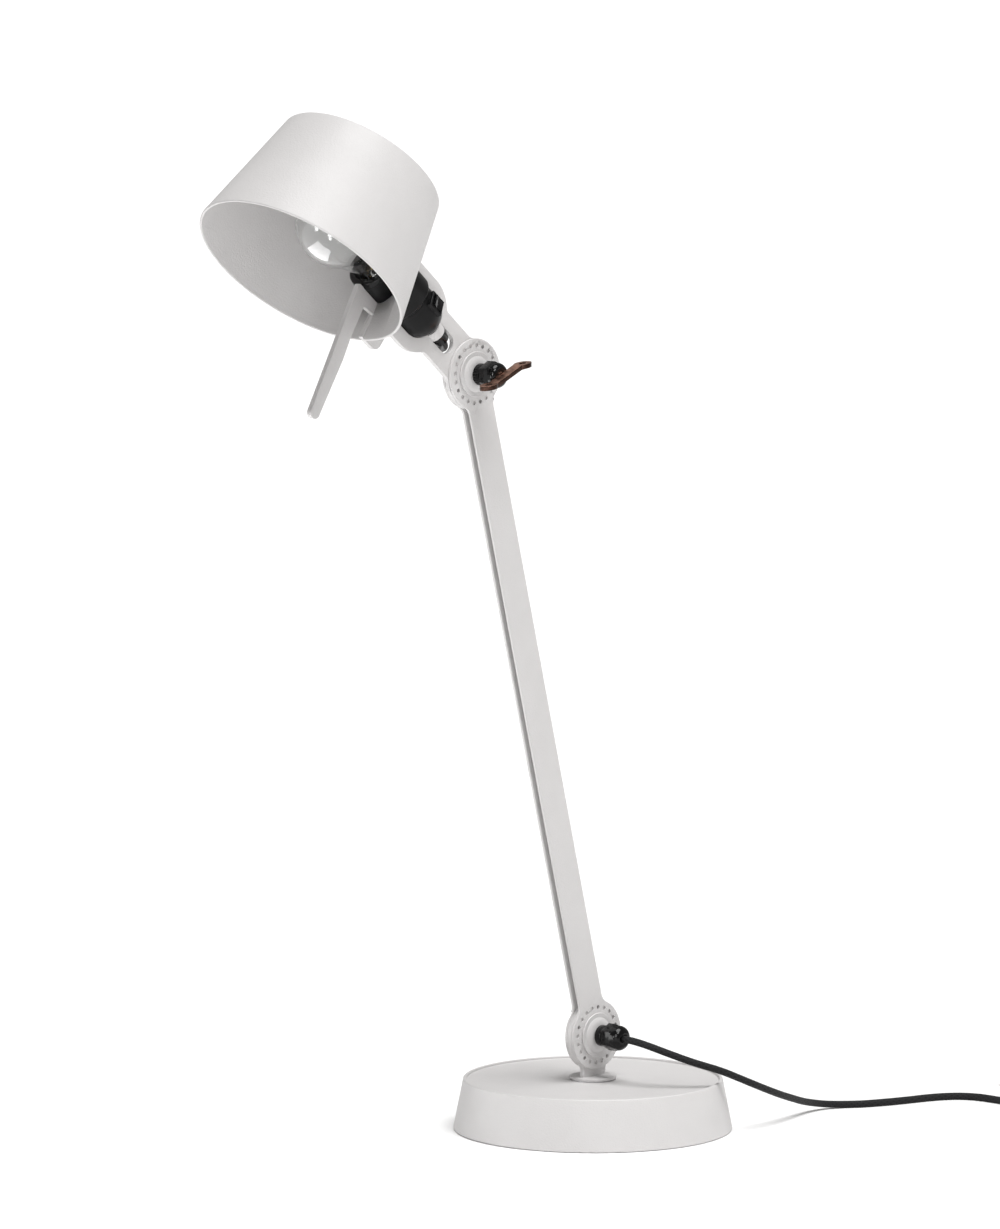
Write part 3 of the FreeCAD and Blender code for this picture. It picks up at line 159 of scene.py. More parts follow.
class LampStudioSettings(bpy.types.PropertyGroup):
    """Camera and light"""

    camera_at: bpy.props.FloatVectorProperty(
        name="Camera", description="Where the camera stands", subtype="TRANSLATION", size=3,
        default=(3.16923, -3.35432, 0.84596),
    )
    camera_dip: bpy.props.FloatProperty(
        name="Dip", description="How far the camera looks down", subtype="ANGLE", default=math.radians(5.874)
    )
    camera_turn: bpy.props.FloatProperty(
        name="Turn", description="How far the camera is turned from +Y", subtype="ANGLE",
        default=math.radians(44.204),
    )
    lens: bpy.props.FloatProperty(name="Lens", description="Focal length in millimetres", default=190.4)
    floor_tone: bpy.props.FloatProperty(
        name="Floor", description="Tone of the floor", subtype="FACTOR", default=0.98
    )
    floor_radius: bpy.props.FloatProperty(name="Floor radius", description="Size of the floor", default=200)
    sky: bpy.props.FloatProperty(name="Sky", description="Brightness all round", default=0.32)
    sun: bpy.props.FloatProperty(name="Sun", description="Brightness of the broad key light", default=2.95)


# Placing


def placed(origin, x, z):
    """The matrix that puts a piece's own X and Z along these directions, at this origin."""
    x, z = x.normalized(), z.normalized()
    matrix = Matrix((x, z.cross(x), z)).transposed().to_4x4()
    matrix.translation = origin
    return matrix


def forward():
    """The direction from the upper hinge along the lampholder."""
    rise = bpy.context.scene.lamp_head.rise
    return Vector((0, -math.cos(rise), math.sin(rise)))


def upward():
    """The head's own up, square to forward."""
    rise = bpy.context.scene.lamp_head.rise
    return Vector((0, math.sin(rise), math.cos(rise)))


def holder_place():
    """Own Z runs forward along the lampholder from the upper hinge, and own Y is the head's up."""
    return placed(UPPER, X, forward())


def shade_place():
    """Own Z runs up the shade's axis."""
    return placed(UPPER + forward() * bpy.context.scene.lamp_head.shade_axis, X, upward())


def hinge_place(centre):
    """Own Z runs along the hinge axis, to the knob's side."""
    return placed(centre, Y, X)


# Mesh tools


def rounded_outline(points, closed):
    """Outline points (radius, height, corner radius) with each corner drawn as an arc."""
    line = []
    count = len(points)
    for i, point in enumerate(points):
        here = Vector((point[0], 0, point[1]))
        radius = point[2] if len(point) > 2 else 0
        if not radius or (not closed and i in (0, count - 1)):
            line.append(here)
            continue
        before, after = points[i - 1], points[(i + 1) % count]
        back = (Vector((before[0], 0, before[1])) - here).normalized()
        ahead = (Vector((after[0], 0, after[1])) - here).normalized()
        half = back.angle(ahead) / 2
        reach = radius / math.tan(half)
        centre = here + (back + ahead).normalized() * (radius / math.sin(half))
        start = here + back * reach - centre
        end = here + ahead * reach - centre
        line += [centre + start.slerp(end, k / CORNER_STEPS) for k in range(CORNER_STEPS + 1)]
    return line


def lathe(points, closed=True, steps=128):
    """A turned shape about its own Z, from an outline in millimetres."""
    mesh = bmesh.new()
    line = [mesh.verts.new(p * MM) for p in rounded_outline(points, closed)]
    edges = [mesh.edges.new(pair) for pair in zip(line, line[1:])]
    if closed:
        edges.append(mesh.edges.new((line[-1], line[0])))
    bmesh.ops.spin(
        mesh, geom=line + edges, cent=(0, 0, 0), axis=(0, 0, 1), angle=2 * math.pi, steps=steps,
        use_merge=True,
    )
    bmesh.ops.remove_doubles(mesh, verts=mesh.verts, dist=SPECK / 10)
    bmesh.ops.recalc_face_normals(mesh, faces=mesh.faces)
    return mesh


def arc_points(centre, radius, start, end, count):
    """Outline points along an arc, angles in degrees from the radius direction."""
    angles = [math.radians(start + (end - start) * i / count) for i in range(count + 1)]
    return [(centre[0] + radius * math.cos(a), centre[1] + radius * math.sin(a)) for a in angles]


def block(low, high):
    """A block in millimetres between two corners."""
    mesh = bmesh.new()
    bmesh.ops.create_cube(mesh, size=1)
    size = [(b - a) * MM for a, b in zip(low, high)]
    middle = Vector([(a + b) / 2 * MM for a, b in zip(low, high)])
    bmesh.ops.scale(mesh, vec=size, verts=mesh.verts)
    bmesh.ops.translate(mesh, vec=middle, verts=mesh.verts)
    return mesh


def join_mesh(target, other):
    """Add another bmesh's shape to the first, and free the other."""
    spare = bpy.data.meshes.new("spare")
    other.to_mesh(spare)
    target.from_mesh(spare)
    bpy.data.meshes.remove(spare)
    other.free()


def healed(mesh):
    """Take out doubled corners and faces without an area."""
    bmesh.ops.remove_doubles(mesh, verts=mesh.verts, dist=SPECK)
    bmesh.ops.dissolve_degenerate(mesh, edges=mesh.edges, dist=SPECK)


def made(name, mesh, matrix, material, body, stands_for=(), smooth_angle=35):
    """Turn a bmesh into a finished piece that rides on a body."""
    data = bpy.data.meshes.new(name)
    mesh.transform(matrix)
    healed(mesh)
    mesh.to_mesh(data)
    mesh.free()
    piece = bpy.data.objects.new(name, data)
    bpy.context.scene.collection.objects.link(piece)
    finished(piece, material, body, stands_for, smooth_angle)
    return piece


def finished(piece, material, body, stands_for=(), smooth_angle=35):
    """Give a piece its material, shading and body, and hide the CAD nodes it stands for."""
    piece.data.materials.clear()
    piece.data.materials.append(material)
    piece.data.polygons.foreach_set("use_smooth", [True] * len(piece.data.polygons))
    piece.data.set_sharp_from_angle(angle=math.radians(smooth_angle))
    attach(piece, body)
    if stands_for:
        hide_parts(*stands_for)


def baked(piece):
    """Apply a piece's modifiers to its mesh."""
    bpy.context.view_layer.update()
    done = piece.evaluated_get(bpy.context.evaluated_depsgraph_get())
    data = bpy.data.meshes.new_from_object(done)
    piece.modifiers.clear()
    old, piece.data = piece.data, data
    bpy.data.meshes.remove(old)
    mesh = bmesh.new()
    mesh.from_mesh(data)
    healed(mesh)
    mesh.to_mesh(data)
    mesh.free()


def in_ring(point):
    """Whether a point lies in the ring of holes round a hinge."""
    return any(RING_INNER < (point - centre).yz.length / MM < RING_OUTER for centre in (LOWER, UPPER))


def is_hole_rim(edge):
    """Whether an edge belongs to the holes of a hinge disc, which keep their crisp rims."""
    return in_ring((edge.verts[0].co + edge.verts[1].co) / 2) and edge.calc_length() < HOLE_SIDE * MM


def deepen_dimples(mesh, depth):
    """Sink the floors of the blind holes round a hinge disc, so that they read as clear dots."""
    for face in mesh.faces:
        is_floor = abs(face.normal.x) > 0.99 and face.calc_area() < HOLE_AREA * MM * MM
        if is_floor and in_ring(face.calc_center_median()):
            for vert in face.verts:
                vert.co.x -= face.normal.x * depth * MM


def softened(node, width, material, body, angle=25, segments=3, name=None, spare_holes=False):
    """A CAD node with its sharp edges broken, as its stand-in."""
    mesh = bmesh.new()
    mesh.from_mesh(frame["nodes"][node].data)
    bmesh.ops.remove_doubles(mesh, verts=mesh.verts, dist=2 * SPECK)
    bmesh.ops.dissolve_degenerate(mesh, edges=mesh.edges, dist=SPECK)
    bmesh.ops.dissolve_limit(mesh, angle_limit=math.radians(0.6), verts=mesh.verts, edges=mesh.edges)
    sharp = [e for e in mesh.edges if e.is_manifold and e.calc_face_angle(0) > math.radians(angle)]
    if spare_holes:
        deepen_dimples(mesh, DIMPLE_EXTRA)
        sharp = [e for e in sharp if not is_hole_rim(e)]
    bmesh.ops.bevel(
        mesh, geom=sharp, offset=width * MM, segments=segments, profile=0.5, affect="EDGES", material=-1,
        clamp_overlap=True,
    )
    return made(name or node + "_finished", mesh, AT_ORIGIN, material, body, (node,), smooth_angle=28)


def finish_nodes(**finishes):
    """Give CAD nodes that stay their materials, each by its node's name and the material's."""
    for node, name in finishes.items():
        data = frame["nodes"][node].data
        data.materials.clear()
        data.materials.append(finish_of(name))


# Materials


def new_material(name):
    material = bpy.data.materials.new(name)
    material.use_nodes = True
    nodes = material.node_tree.nodes
    return material, nodes, material.node_tree.links, nodes["Principled BSDF"]


def noise(nodes, links, scale, detail=2.0, roughness=0.5, stretch=None):
    """A noise on Object coordinates, its scale in cycles a metre."""
    place = nodes.new("ShaderNodeTexCoord")
    texture = nodes.new("ShaderNodeTexNoise")
    texture.inputs["Scale"].default_value = scale
    texture.inputs["Detail"].default_value = detail
    texture.inputs["Roughness"].default_value = roughness
    if stretch:
        mapping = nodes.new("ShaderNodeMapping")
        mapping.inputs["Scale"].default_value = stretch
        links.new(place.outputs["Object"], mapping.inputs["Vector"])
        links.new(mapping.outputs["Vector"], texture.inputs["Vector"])
    else:
        links.new(place.outputs["Object"], texture.inputs["Vector"])
    return texture.outputs["Fac"]


def ramp(nodes, links, value, low, high, start, end):
    """Colours from low to high as a value goes from start to end."""
    band = nodes.new("ShaderNodeValToRGB")
    band.color_ramp.elements[0].position = start
    band.color_ramp.elements[1].position = end
    band.color_ramp.elements[0].color = (*low, 1)
    band.color_ramp.elements[1].color = (*high, 1)
    links.new(value, band.inputs["Fac"])
    return band.outputs["Color"]


def spread(nodes, links, value, low, high):
    """A number from low to high as a value goes from 0 to 1."""
    change = nodes.new("ShaderNodeMapRange")
    change.inputs["To Min"].default_value = low
    change.inputs["To Max"].default_value = high
    links.new(value, change.inputs["Value"])
    return change.outputs["Result"]


def bump(nodes, links, height, shader, strength, distance, before=None):
    relief = nodes.new("ShaderNodeBump")
    relief.inputs["Strength"].default_value = strength
    relief.inputs["Distance"].default_value = distance
    links.new(height, relief.inputs["Height"])
    if before:
        links.new(before, relief.inputs["Normal"])
    links.new(relief.outputs["Normal"], shader.inputs["Normal"])
    return relief.outputs["Normal"]


def shade_of(colour, share):
    return tuple(min(1.0, c * share) for c in colour)


def powder_coat():
    """White powder coat: a fine orange peel and a faint unevenness in tone."""
    settings = bpy.context.scene.lamp_paint
    material, nodes, links, shader = new_material("white_powder_coat")
    tone = noise(nodes, links, 22, 3)
    dark, light = shade_of(settings.paint, 0.975), shade_of(settings.paint, 1.02)
    colour = ramp(nodes, links, tone, dark, light, 0.3, 0.7)
    links.new(colour, shader.inputs["Base Color"])
    matt = settings.paint_roughness
    rough = spread(nodes, links, noise(nodes, links, 60, 2), matt - 0.06, matt + 0.06)
    links.new(rough, shader.inputs["Roughness"])
    peel = bump(nodes, links, noise(nodes, links, 900, 2, 0.45), shader, 0.45, 0.0004)
    bump(nodes, links, noise(nodes, links, 3200, 1), shader, 0.10, 0.0001, peel)
    return material


def black_nylon():
    """Glossy moulded nylon with a faint grain."""
    settings = bpy.context.scene.lamp_paint
    material, nodes, links, shader = new_material("black_nylon")
    tone = noise(nodes, links, 300, 2)
    colour = ramp(nodes, links, tone, settings.nylon, shade_of(settings.nylon, 1.8), 0.35, 0.75)
    links.new(colour, shader.inputs["Base Color"])
    shader.inputs["Specular IOR Level"].default_value = 0.24
    links.new(spread(nodes, links, noise(nodes, links, 500, 3), 0.07, 0.16), shader.inputs["Roughness"])
    bump(nodes, links, noise(nodes, links, 2400, 2), shader, 0.08, 0.0001)
    return material


def holder_black():
    """The lampholder's satin bakelite."""
    settings = bpy.context.scene.lamp_paint
    material, nodes, links, shader = new_material("lampholder_black")
    tone = noise(nodes, links, 120, 3)
    colour = ramp(nodes, links, tone, settings.holder, shade_of(settings.holder, 1.6), 0.3, 0.8)
    links.new(colour, shader.inputs["Base Color"])
    shader.inputs["Specular IOR Level"].default_value = 0.18
    links.new(spread(nodes, links, noise(nodes, links, 260, 3), 0.26, 0.40), shader.inputs["Roughness"])
    bump(nodes, links, noise(nodes, links, 1600, 2), shader, 0.12, 0.0001)
    return material


def aged_copper():
    """Copper with a dark patina, worn bright on its high spots, with painted shade on its sides and in its
    eyes, and brushed along its length.
    """
    settings = bpy.context.scene.lamp_paint
    material, nodes, links, shader = new_material("aged_copper")
    shader.inputs["Metallic"].default_value = 1.0
    patina = noise(nodes, links, 140, 5, 0.62)
    colour = ramp(nodes, links, patina, (0.10, 0.05, 0.036), settings.copper, 0.34, 0.60)
    links.new(painted_side_shade(nodes, links, colour), shader.inputs["Base Color"])
    links.new(spread(nodes, links, noise(nodes, links, 220, 4), 0.24, 0.52), shader.inputs["Roughness"])
    lines = bump(nodes, links, noise(nodes, links, 500, 3, 0.6, (9, 0.7, 2)), shader, 0.25, 0.0001)
    bump(nodes, links, noise(nodes, links, 90, 2), shader, 0.2, 0.0004, lines)
    return material


def painted_side_shade(nodes, links, colour):
    """The colour as it is on the faces turned up or down, with painted shade making it much darker on the
    sides and in the eyes.
    """
    mark = nodes.new("ShaderNodeAttribute")
    mark.attribute_name = "broad_face"
    share = nodes.new("ShaderNodeMapRange")
    share.inputs["From Min"].default_value = 0.25
    share.inputs["From Max"].default_value = 0.75
    share.inputs["To Min"].default_value = 0.08
    links.new(mark.outputs["Fac"], share.inputs["Value"])
    mix = nodes.new("ShaderNodeMix")
    mix.data_type = "RGBA"
    # the painted shade's colour, on the sides and in the eyes
    mix.inputs[6].default_value = (0.012, 0.006, 0.005, 1)
    links.new(share.outputs["Result"], mix.inputs["Factor"])
    links.new(colour, mix.inputs[7])
    return mix.outputs[2]


def plain_metal(name, colour, dark, low, high):
    """Turned or plated metal with fine tool marks."""
    material, nodes, links, shader = new_material(name)
    shader.inputs["Metallic"].default_value = 1.0
    tint = ramp(nodes, links, noise(nodes, links, 180, 4), dark, colour, 0.3, 0.7)
    links.new(tint, shader.inputs["Base Color"])
    links.new(spread(nodes, links, noise(nodes, links, 400, 3), low, high), shader.inputs["Roughness"])
    bump(nodes, links, noise(nodes, links, 1500, 3, 0.5, (1, 1, 4)), shader, 0.12, 0.0001)
    return material


def plain_matter(name, colour, light, low, high, grain=900, depth=0.3):
    """A non-metal with a grain: rubber, castings, porcelain and wire cover."""
    material, nodes, links, shader = new_material(name)
    tint = ramp(nodes, links, noise(nodes, links, 90, 4), colour, light, 0.3, 0.7)
    links.new(tint, shader.inputs["Base Color"])
    links.new(spread(nodes, links, noise(nodes, links, 350, 3), low, high), shader.inputs["Roughness"])
    bump(nodes, links, noise(nodes, links, grain, 4, 0.6), shader, depth, 0.0003)
    return material


def clear_glass():
    material, nodes, links, shader = new_material("clear_glass")
    shader.inputs["Transmission Weight"].default_value = 1.0
    shader.inputs["IOR"].default_value = 1.48
    tint = ramp(nodes, links, noise(nodes, links, 30, 2), (0.97, 0.985, 0.98), (1, 1, 1), 0.3, 0.7)
    links.new(tint, shader.inputs["Base Color"])
    links.new(spread(nodes, links, noise(nodes, links, 40, 2), 0.0, 0.012), shader.inputs["Roughness"])
    bump(nodes, links, noise(nodes, links, 35, 1), shader, 0.03, 0.0005)
    return material


def math_node(nodes, links, operation, first, second=None):
    node = nodes.new("ShaderNodeMath")
    node.operation = operation
    for socket, value in zip(node.inputs, (first, second)):
        if value is None:
            continue
        if isinstance(value, (int, float)):
            socket.default_value = value
        else:
            links.new(value, socket)
    return node.outputs[0]


def braid(length):
    """A textile braid that follows the cord: two families of yarns that cross, on the cord's own UV, with
    painted shade in the hollows between the yarns.
    """
    settings = bpy.context.scene.lamp_paint
    material, nodes, links, shader = new_material("textile_braid")
    place = nodes.new("ShaderNodeUVMap")
    split = nodes.new("ShaderNodeSeparateXYZ")
    links.new(place.outputs["UV"], split.inputs["Vector"])
    yarns = 12
    pitch = 0.0045
    along = math_node(nodes, links, "MULTIPLY", split.outputs["X"], 2 * math.pi * length / pitch)
    around = math_node(nodes, links, "MULTIPLY", split.outputs["Y"], 2 * math.pi * yarns / 2)
    left = math_node(nodes, links, "SINE", math_node(nodes, links, "ADD", along, around))
    right = math_node(nodes, links, "SINE", math_node(nodes, links, "SUBTRACT", along, around))
    weave = math_node(nodes, links, "MAXIMUM", left, right)
    height = spread(nodes, links, math_node(nodes, links, "MULTIPLY_ADD", weave, 0.5), 0, 1)
    height.node.inputs["From Min"].default_value = -0.2
    height.node.inputs["From Max"].default_value = 1.0
    # painted shade: the hollows between the yarns darker than their crowns
    dark, light = shade_of(settings.cloth, 0.45), shade_of(settings.cloth, 2.2)
    colour = ramp(nodes, links, height, dark, light, 0.2, 0.9)
    links.new(colour, shader.inputs["Base Color"])
    shader.inputs["Roughness"].default_value = 0.72
    shader.inputs["Specular IOR Level"].default_value = 0.2
    shader.inputs["Sheen Weight"].default_value = 0.08
    shader.inputs["Sheen Roughness"].default_value = 0.5
    weave_bump = bump(nodes, links, height, shader, 0.8, 0.00025)
    bump(nodes, links, noise(nodes, links, 5000, 2), shader, 0.25, 0.00008, weave_bump)
    return material


def studio_floor(tone):
    material, nodes, links, shader = new_material("studio_floor")
    colour = ramp(nodes, links, noise(nodes, links, 2, 2), (tone * 0.99,) * 3, (tone,) * 3, 0.3, 0.7)
    links.new(colour, shader.inputs["Base Color"])
    shader.inputs["Roughness"].default_value = 0.9
    shader.inputs["Specular IOR Level"].default_value = 0.1
    return material


store = {}  # the materials made so far, by name


def finish_of(name):
    """The lamp's materials, each made once."""
    makers = {
        "white": powder_coat,
        "nylon": black_nylon,
        "holder": holder_black,
        "copper": aged_copper,
        "brass": lambda: plain_metal("bright_brass", (0.80, 0.58, 0.27), (0.55, 0.36, 0.14), 0.16, 0.3),
        "steel": lambda: plain_metal("plated_steel", (0.62, 0.62, 0.63), (0.42, 0.42, 0.43), 0.22, 0.42),
        "iron": lambda: plain_matter(
            "cast_iron", (0.035, 0.035, 0.037), (0.07, 0.07, 0.07), 0.5, 0.7, 500, 0.6
        ),
        "rubber": lambda: plain_matter("black_rubber", (0.015, 0.015, 0.015), (0.03, 0.03, 0.03), 0.6, 0.8),
        "porcelain": lambda: plain_matter(
            "porcelain", (0.72, 0.70, 0.66), (0.8, 0.78, 0.74), 0.35, 0.5, 700, 0.15
        ),
        "wire": lambda: plain_matter(
            "wire_cover", (0.012, 0.011, 0.011), (0.03, 0.027, 0.025), 0.3, 0.5, 900, 0.1
        ),
        "tungsten": lambda: plain_metal("lead_wire", (0.28, 0.26, 0.25), (0.12, 0.11, 0.11), 0.3, 0.5),
        "glass": clear_glass,
    }
    if name not in store:
        store[name] = makers[name]()
    return store[name]


# Stage


KEY_DIRECTION = Vector((-0.32, 0.02, -1.0))
KEY_SPREAD = math.radians(38)
CARDS = {  # where each card stands, its two sides and its power
    "mouth_card": ((-0.30, -0.42, 0.12), (0.60, 0.45), 3.6),
    "front_card": ((0.2, -0.85, 0.35), (0.08, 0.3), 1.2),
    "low_card": ((-0.40, -1.65, 0.45), (0.20, 0.25), 3.0),
    "high_card": ((1.7, -0.6, 1.9), (0.8, 0.5), 16.0),
    "near_card": ((1.1, -1.3, 0.9), (0.12, 0.6), 7.0),
}


class LAMP_OT_stage(bpy.types.Operator):
    """Camera, floor and soft studio light"""

    bl_idname = "lamp.stage"
    bl_label = "Stage"

    def execute(self, context):
        studio = context.scene.lamp_studio
        camera_data = bpy.data.cameras.new("camera")
        camera_data.sensor_fit = "VERTICAL"
        camera_data.sensor_height = 36
        camera_data.lens = studio.lens
        camera_data.clip_end = 2 * studio.floor_radius
        camera = bpy.data.objects.new("camera", camera_data)
        camera.location = studio.camera_at
        camera.rotation_euler = (math.pi / 2 - studio.camera_dip, 0, studio.camera_turn)
        context.scene.collection.objects.link(camera)
        context.scene.camera = camera
        mesh = bmesh.new()
        bmesh.ops.create_circle(mesh, cap_ends=True, segments=96, radius=studio.floor_radius)
        data = bpy.data.meshes.new("floor")
        mesh.to_mesh(data)
        mesh.free()
        data.materials.append(studio_floor(studio.floor_tone))
        floor = bpy.data.objects.new("floor", data)
        context.scene.collection.objects.link(floor)
        self.sky(context)
        self.lights(context)
        return {"FINISHED"}

    def sky(self, context):
        world = bpy.data.worlds.new("soft_white")
        world.use_nodes = True
        background = world.node_tree.nodes["Background"]
        background.inputs["Color"].default_value = (1.0, 0.99, 0.975, 1)
        background.inputs["Strength"].default_value = context.scene.lamp_studio.sky
        context.scene.world = world
        context.scene.view_settings.view_transform = "Standard"

    def lights(self, context):
        """A broad light from above on the right, cards seen only as reflections, and a faint fill."""
        key = bpy.data.lights.new("key", "SUN")
        key.energy = context.scene.lamp_studio.sun
        key.angle = KEY_SPREAD
        lamp = bpy.data.objects.new("key", key)
        lamp.rotation_euler = KEY_DIRECTION.to_track_quat("-Z", "Y").to_euler()
        context.scene.collection.objects.link(lamp)
        for name, (place, size, power) in CARDS.items():
            self.card(context, name, place, size, power)
        self.card(context, "fill", (0.55, -0.6, 0.2), (0.4, 0.4), 0.5, lights_paint=True)

    def card(self, context, name, place, size, power, lights_paint=False):
        """An area light turned to the upper hinge, which the camera doesn't see."""
        data = bpy.data.lights.new(name, "AREA")
        data.shape = "RECTANGLE"
        data.size, data.size_y = size
        data.energy = power
        light = bpy.data.objects.new(name, data)
        light.location = place
        light.rotation_euler = (UPPER - light.location).to_track_quat("-Z", "Y").to_euler()
        light.visible_diffuse = lights_paint
        light.visible_camera = False
        context.scene.collection.objects.link(light)


# Cord


# The route in millimetres, from the gland down to the table and along it to the coil
CORD_ROUTE = [
    (17, 0, 68.3),
    (34, 0, 68.3),
    (49, 3, 65.8),
    (62, 11, 60.5),
    (76, 25, 53.2),
    (86, 42, 46.9),
    (90, 62, 38),
    (90, 84, 29.1),
    (86, 106, 21.3),
    (80, 126, 15.3),
    (74, 144, 10),
    (70, 160, 6.3),
    (70, 174, 3.6),
    (76, 186, 2.7),
    (85, 198, 2.6),
    (92, 214, 2.7),
    (97.5, 232, 2.6),
    (103, 254, 2.7),
    (112, 271, 2.6),
    (126, 279, 2.7),
    (143, 279.4, 2.6),
    (159.5, 279.4, 2.6),
]
COIL_CENTRE = (181.0, 314.6)
COIL_OUTER_TURN = 35.4
COIL_SETTLING = (2.0, 2.4)  # how far the top turns sink between the turns below
PLUG_REAR = 150.0
PLUG_HEIGHT = 14.0
PLUG_MIDDLE = PLUG_HEIGHT / 2
PLUG_FALL = [(172, 10), (165, 7.6), (158, PLUG_MIDDLE), (PLUG_REAR + 2, PLUG_MIDDLE)]


def coil_route(settings):
    """The wound turns: a layer from the outer row inwards, one back out, and the last turns on top."""
    diameter = settings.diameter / MM
    rows = [COIL_OUTER_TURN - i * diameter for i in range(3)]
    layers = [diameter / 2 + i * diameter for i in range(3)]
    outer = rows[0]
    stops = [(row, layers[0]) for row in rows] + [(row, layers[1]) for row in reversed(rows)]
    stops += [(outer, layers[2] - sink) for sink in COIL_SETTLING]
    points = []
    centre_x, centre_y = COIL_CENTRE
    per_turn = settings.points_per_turn
    total = settings.coil_turns * per_turn + per_turn // 2
    for i in range(1, total + 1):
        turn = i / per_turn
        index = min(int(turn), len(stops) - 1)
        after = min(index + 1, len(stops) - 1)
        ease = max(0.0, (turn - index) * 3 - 2)  # a turn moves to the next row in its last third
        radius = stops[index][0] + (stops[after][0] - stops[index][0]) * ease
        height = stops[index][1] + (stops[after][1] - stops[index][1]) * ease
        angle = -math.pi / 2 + 2 * math.pi * turn
        points.append((centre_x + radius * math.cos(angle), centre_y + radius * math.sin(angle), height))
    return points


class LAMP_OT_cord(bpy.types.Operator):
    """The textile cord, from the gland to the plug, with the spare length wound in a tied coil"""

    bl_idname = "lamp.cord"
    bl_label = "Cord"

    def execute(self, context):
        settings = context.scene.lamp_cord
        route = CORD_ROUTE + coil_route(settings)
        y = route[-1][1]
        route += [(x, y, z) for x, z in PLUG_FALL]
        data = bpy.data.curves.new("mains_cord", "CURVE")
        data.dimensions = "3D"
        data.bevel_depth = settings.diameter / 2
        data.bevel_resolution = 6
        data.use_fill_caps = True
        spline = data.splines.new("NURBS")
        spline.points.add(len(route) - 1)
        for point, (px, py, pz) in zip(spline.points, route):
            point.co = (px * MM, py * MM, pz * MM, 1)
        spline.order_u = 3
        spline.use_endpoint_u = True
        spline.resolution_u = 10
        piece = bpy.data.objects.new("mains_cord", data)
        context.scene.collection.objects.link(piece)
        length = spline_length(piece)
        data.materials.append(braid(length))
        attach(piece, "foot")
        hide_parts("cord", "cord_coil")
        plug, pins, tie = self.plug(y), self.pins(), self.tie()
        return {"FINISHED"}

    def plug(self, y):
        """The flat plug: a body that narrows to its tail, with a grip step and cord ribs."""
        length, half = 34.0, 17.5
        narrows_from, narrows_by, bend = 0.45, 0.72, 1.3
        front = PLUG_REAR - length
        mesh = block((front, -half, 0), (PLUG_REAR, half, PLUG_HEIGHT))
        bmesh.ops.subdivide_edges(
            mesh, edges=[e for e in mesh.edges if abs(e.verts[0].co.x - e.verts[1].co.x) > MM], cuts=3
        )
        for vert in mesh.verts:
            share = (vert.co.x / MM - front) / length
            along = max(0.0, (share - narrows_from) / (1 - narrows_from))
            vert.co.y *= 1 - narrows_by * along ** bend
        sharp = [e for e in mesh.edges if e.calc_face_angle(0) > math.radians(60)]
        bmesh.ops.bevel(
            mesh, geom=sharp, offset=2.2 * MM, segments=5, profile=0.5, affect="EDGES", material=-1
        )
        ribs = [
            (2.7, 0),
            (4.6, 0, 0.4),
            (4.4, 2),
            (3.7, 2.3),
            (3.7, 3),
            (4.2, 3.3),
            (4.1, 4.6),
            (3.5, 4.9),
            (3.5, 5.6),
            (3.9, 5.9),
            (3.7, 8, 0.4),
            (2.7, 8),
        ]
        tail = lathe(ribs, steps=48)
        tail.transform(placed(Vector((PLUG_REAR * MM, 0, PLUG_MIDDLE * MM)), Y, X))
        join_mesh(mesh, tail)
        place = Matrix.Translation((0, y * MM, 0))
        return made("mains_plug", mesh, place, finish_of("nylon"), "foot", ("plug_body",))

    def pins(self):
        finish_nodes(plug_pins="brass")
        return frame["nodes"]["plug_pins"]

    def tie(self):
        """A flat tie that wraps the coil's turns."""
        return softened("coil_tie", 0.4, finish_of("nylon"), "foot", name="coil_tie_band")


def spline_length(piece):
    """The length of a curve along its middle line."""
    bpy.context.view_layer.update()
    depth, piece.data.bevel_depth = piece.data.bevel_depth, 0
    data = bpy.data.meshes.new_from_object(piece)
    piece.data.bevel_depth = depth
    corners = [vertex.co.copy() for vertex in data.vertices]
    total = sum((corners[a] - corners[b]).length for a, b in (edge.vertices for edge in data.edges))
    bpy.data.meshes.remove(data)
    return total


# Base, foot and arm


# The base's shell in millimetres: its radius, and the heights of its lower edge, its rim and its dish
BASE_RADIUS = 99.86
BASE_FOOT = 0.8
BASE_TOP = 37
BASE_DISH = 35
BASE_WALL = 2.0


class LAMP_OT_base(bpy.types.Operator):
    """The weighted base"""

    bl_idname = "lamp.base"
    bl_label = "Base"

    def execute(self, context):
        outline = [
            (BASE_RADIUS, BASE_FOOT, 0.5),
            (93.4, BASE_TOP, 1.2),
            (90.8, BASE_TOP, 1.0),
            (90.8, BASE_DISH, 0.9),
            (5.05, BASE_DISH, 0.2),
            (5.05, BASE_DISH - BASE_WALL),
            (92.1, BASE_DISH - BASE_WALL, 2.0),
            (BASE_RADIUS - BASE_WALL, BASE_FOOT),
        ]
        shell = lathe(outline, steps=192)
        made("base_housing", shell, AT_ORIGIN, finish_of("white"), "base", ("base_shell",))
        finish_nodes(rest_pad="rubber", base_cover="steel", base_cover_screws="steel", base_weight="iron")
        return {"FINISHED"}


class LAMP_OT_plates(bpy.types.Operator):
    """The painted plates of the foot, the arm and the head, with broken edges"""

    bl_idname = "lamp.plates"
    bl_label = "Plates"

    def execute(self, context):
        white = finish_of("white")
        plates = {
            "foot_bracket": "foot",
            "arm_plate_right": "arm",
            "arm_plate_left": "arm",
            "head_plate": "head",
        }
        for node, body in plates.items():
            softened(node, 0.4, white, body, spare_holes=True)
        softened("holder_boss", 0.4, white, "head")
        finish_nodes(swivel_washer="steel", foot_stud="steel", foot_retainer="steel", foot_nut="steel")
        finish_nodes(arm_spacers="steel", arm_wires="wire", lower_wires="wire")
        return {"FINISHED"}


# Hinges


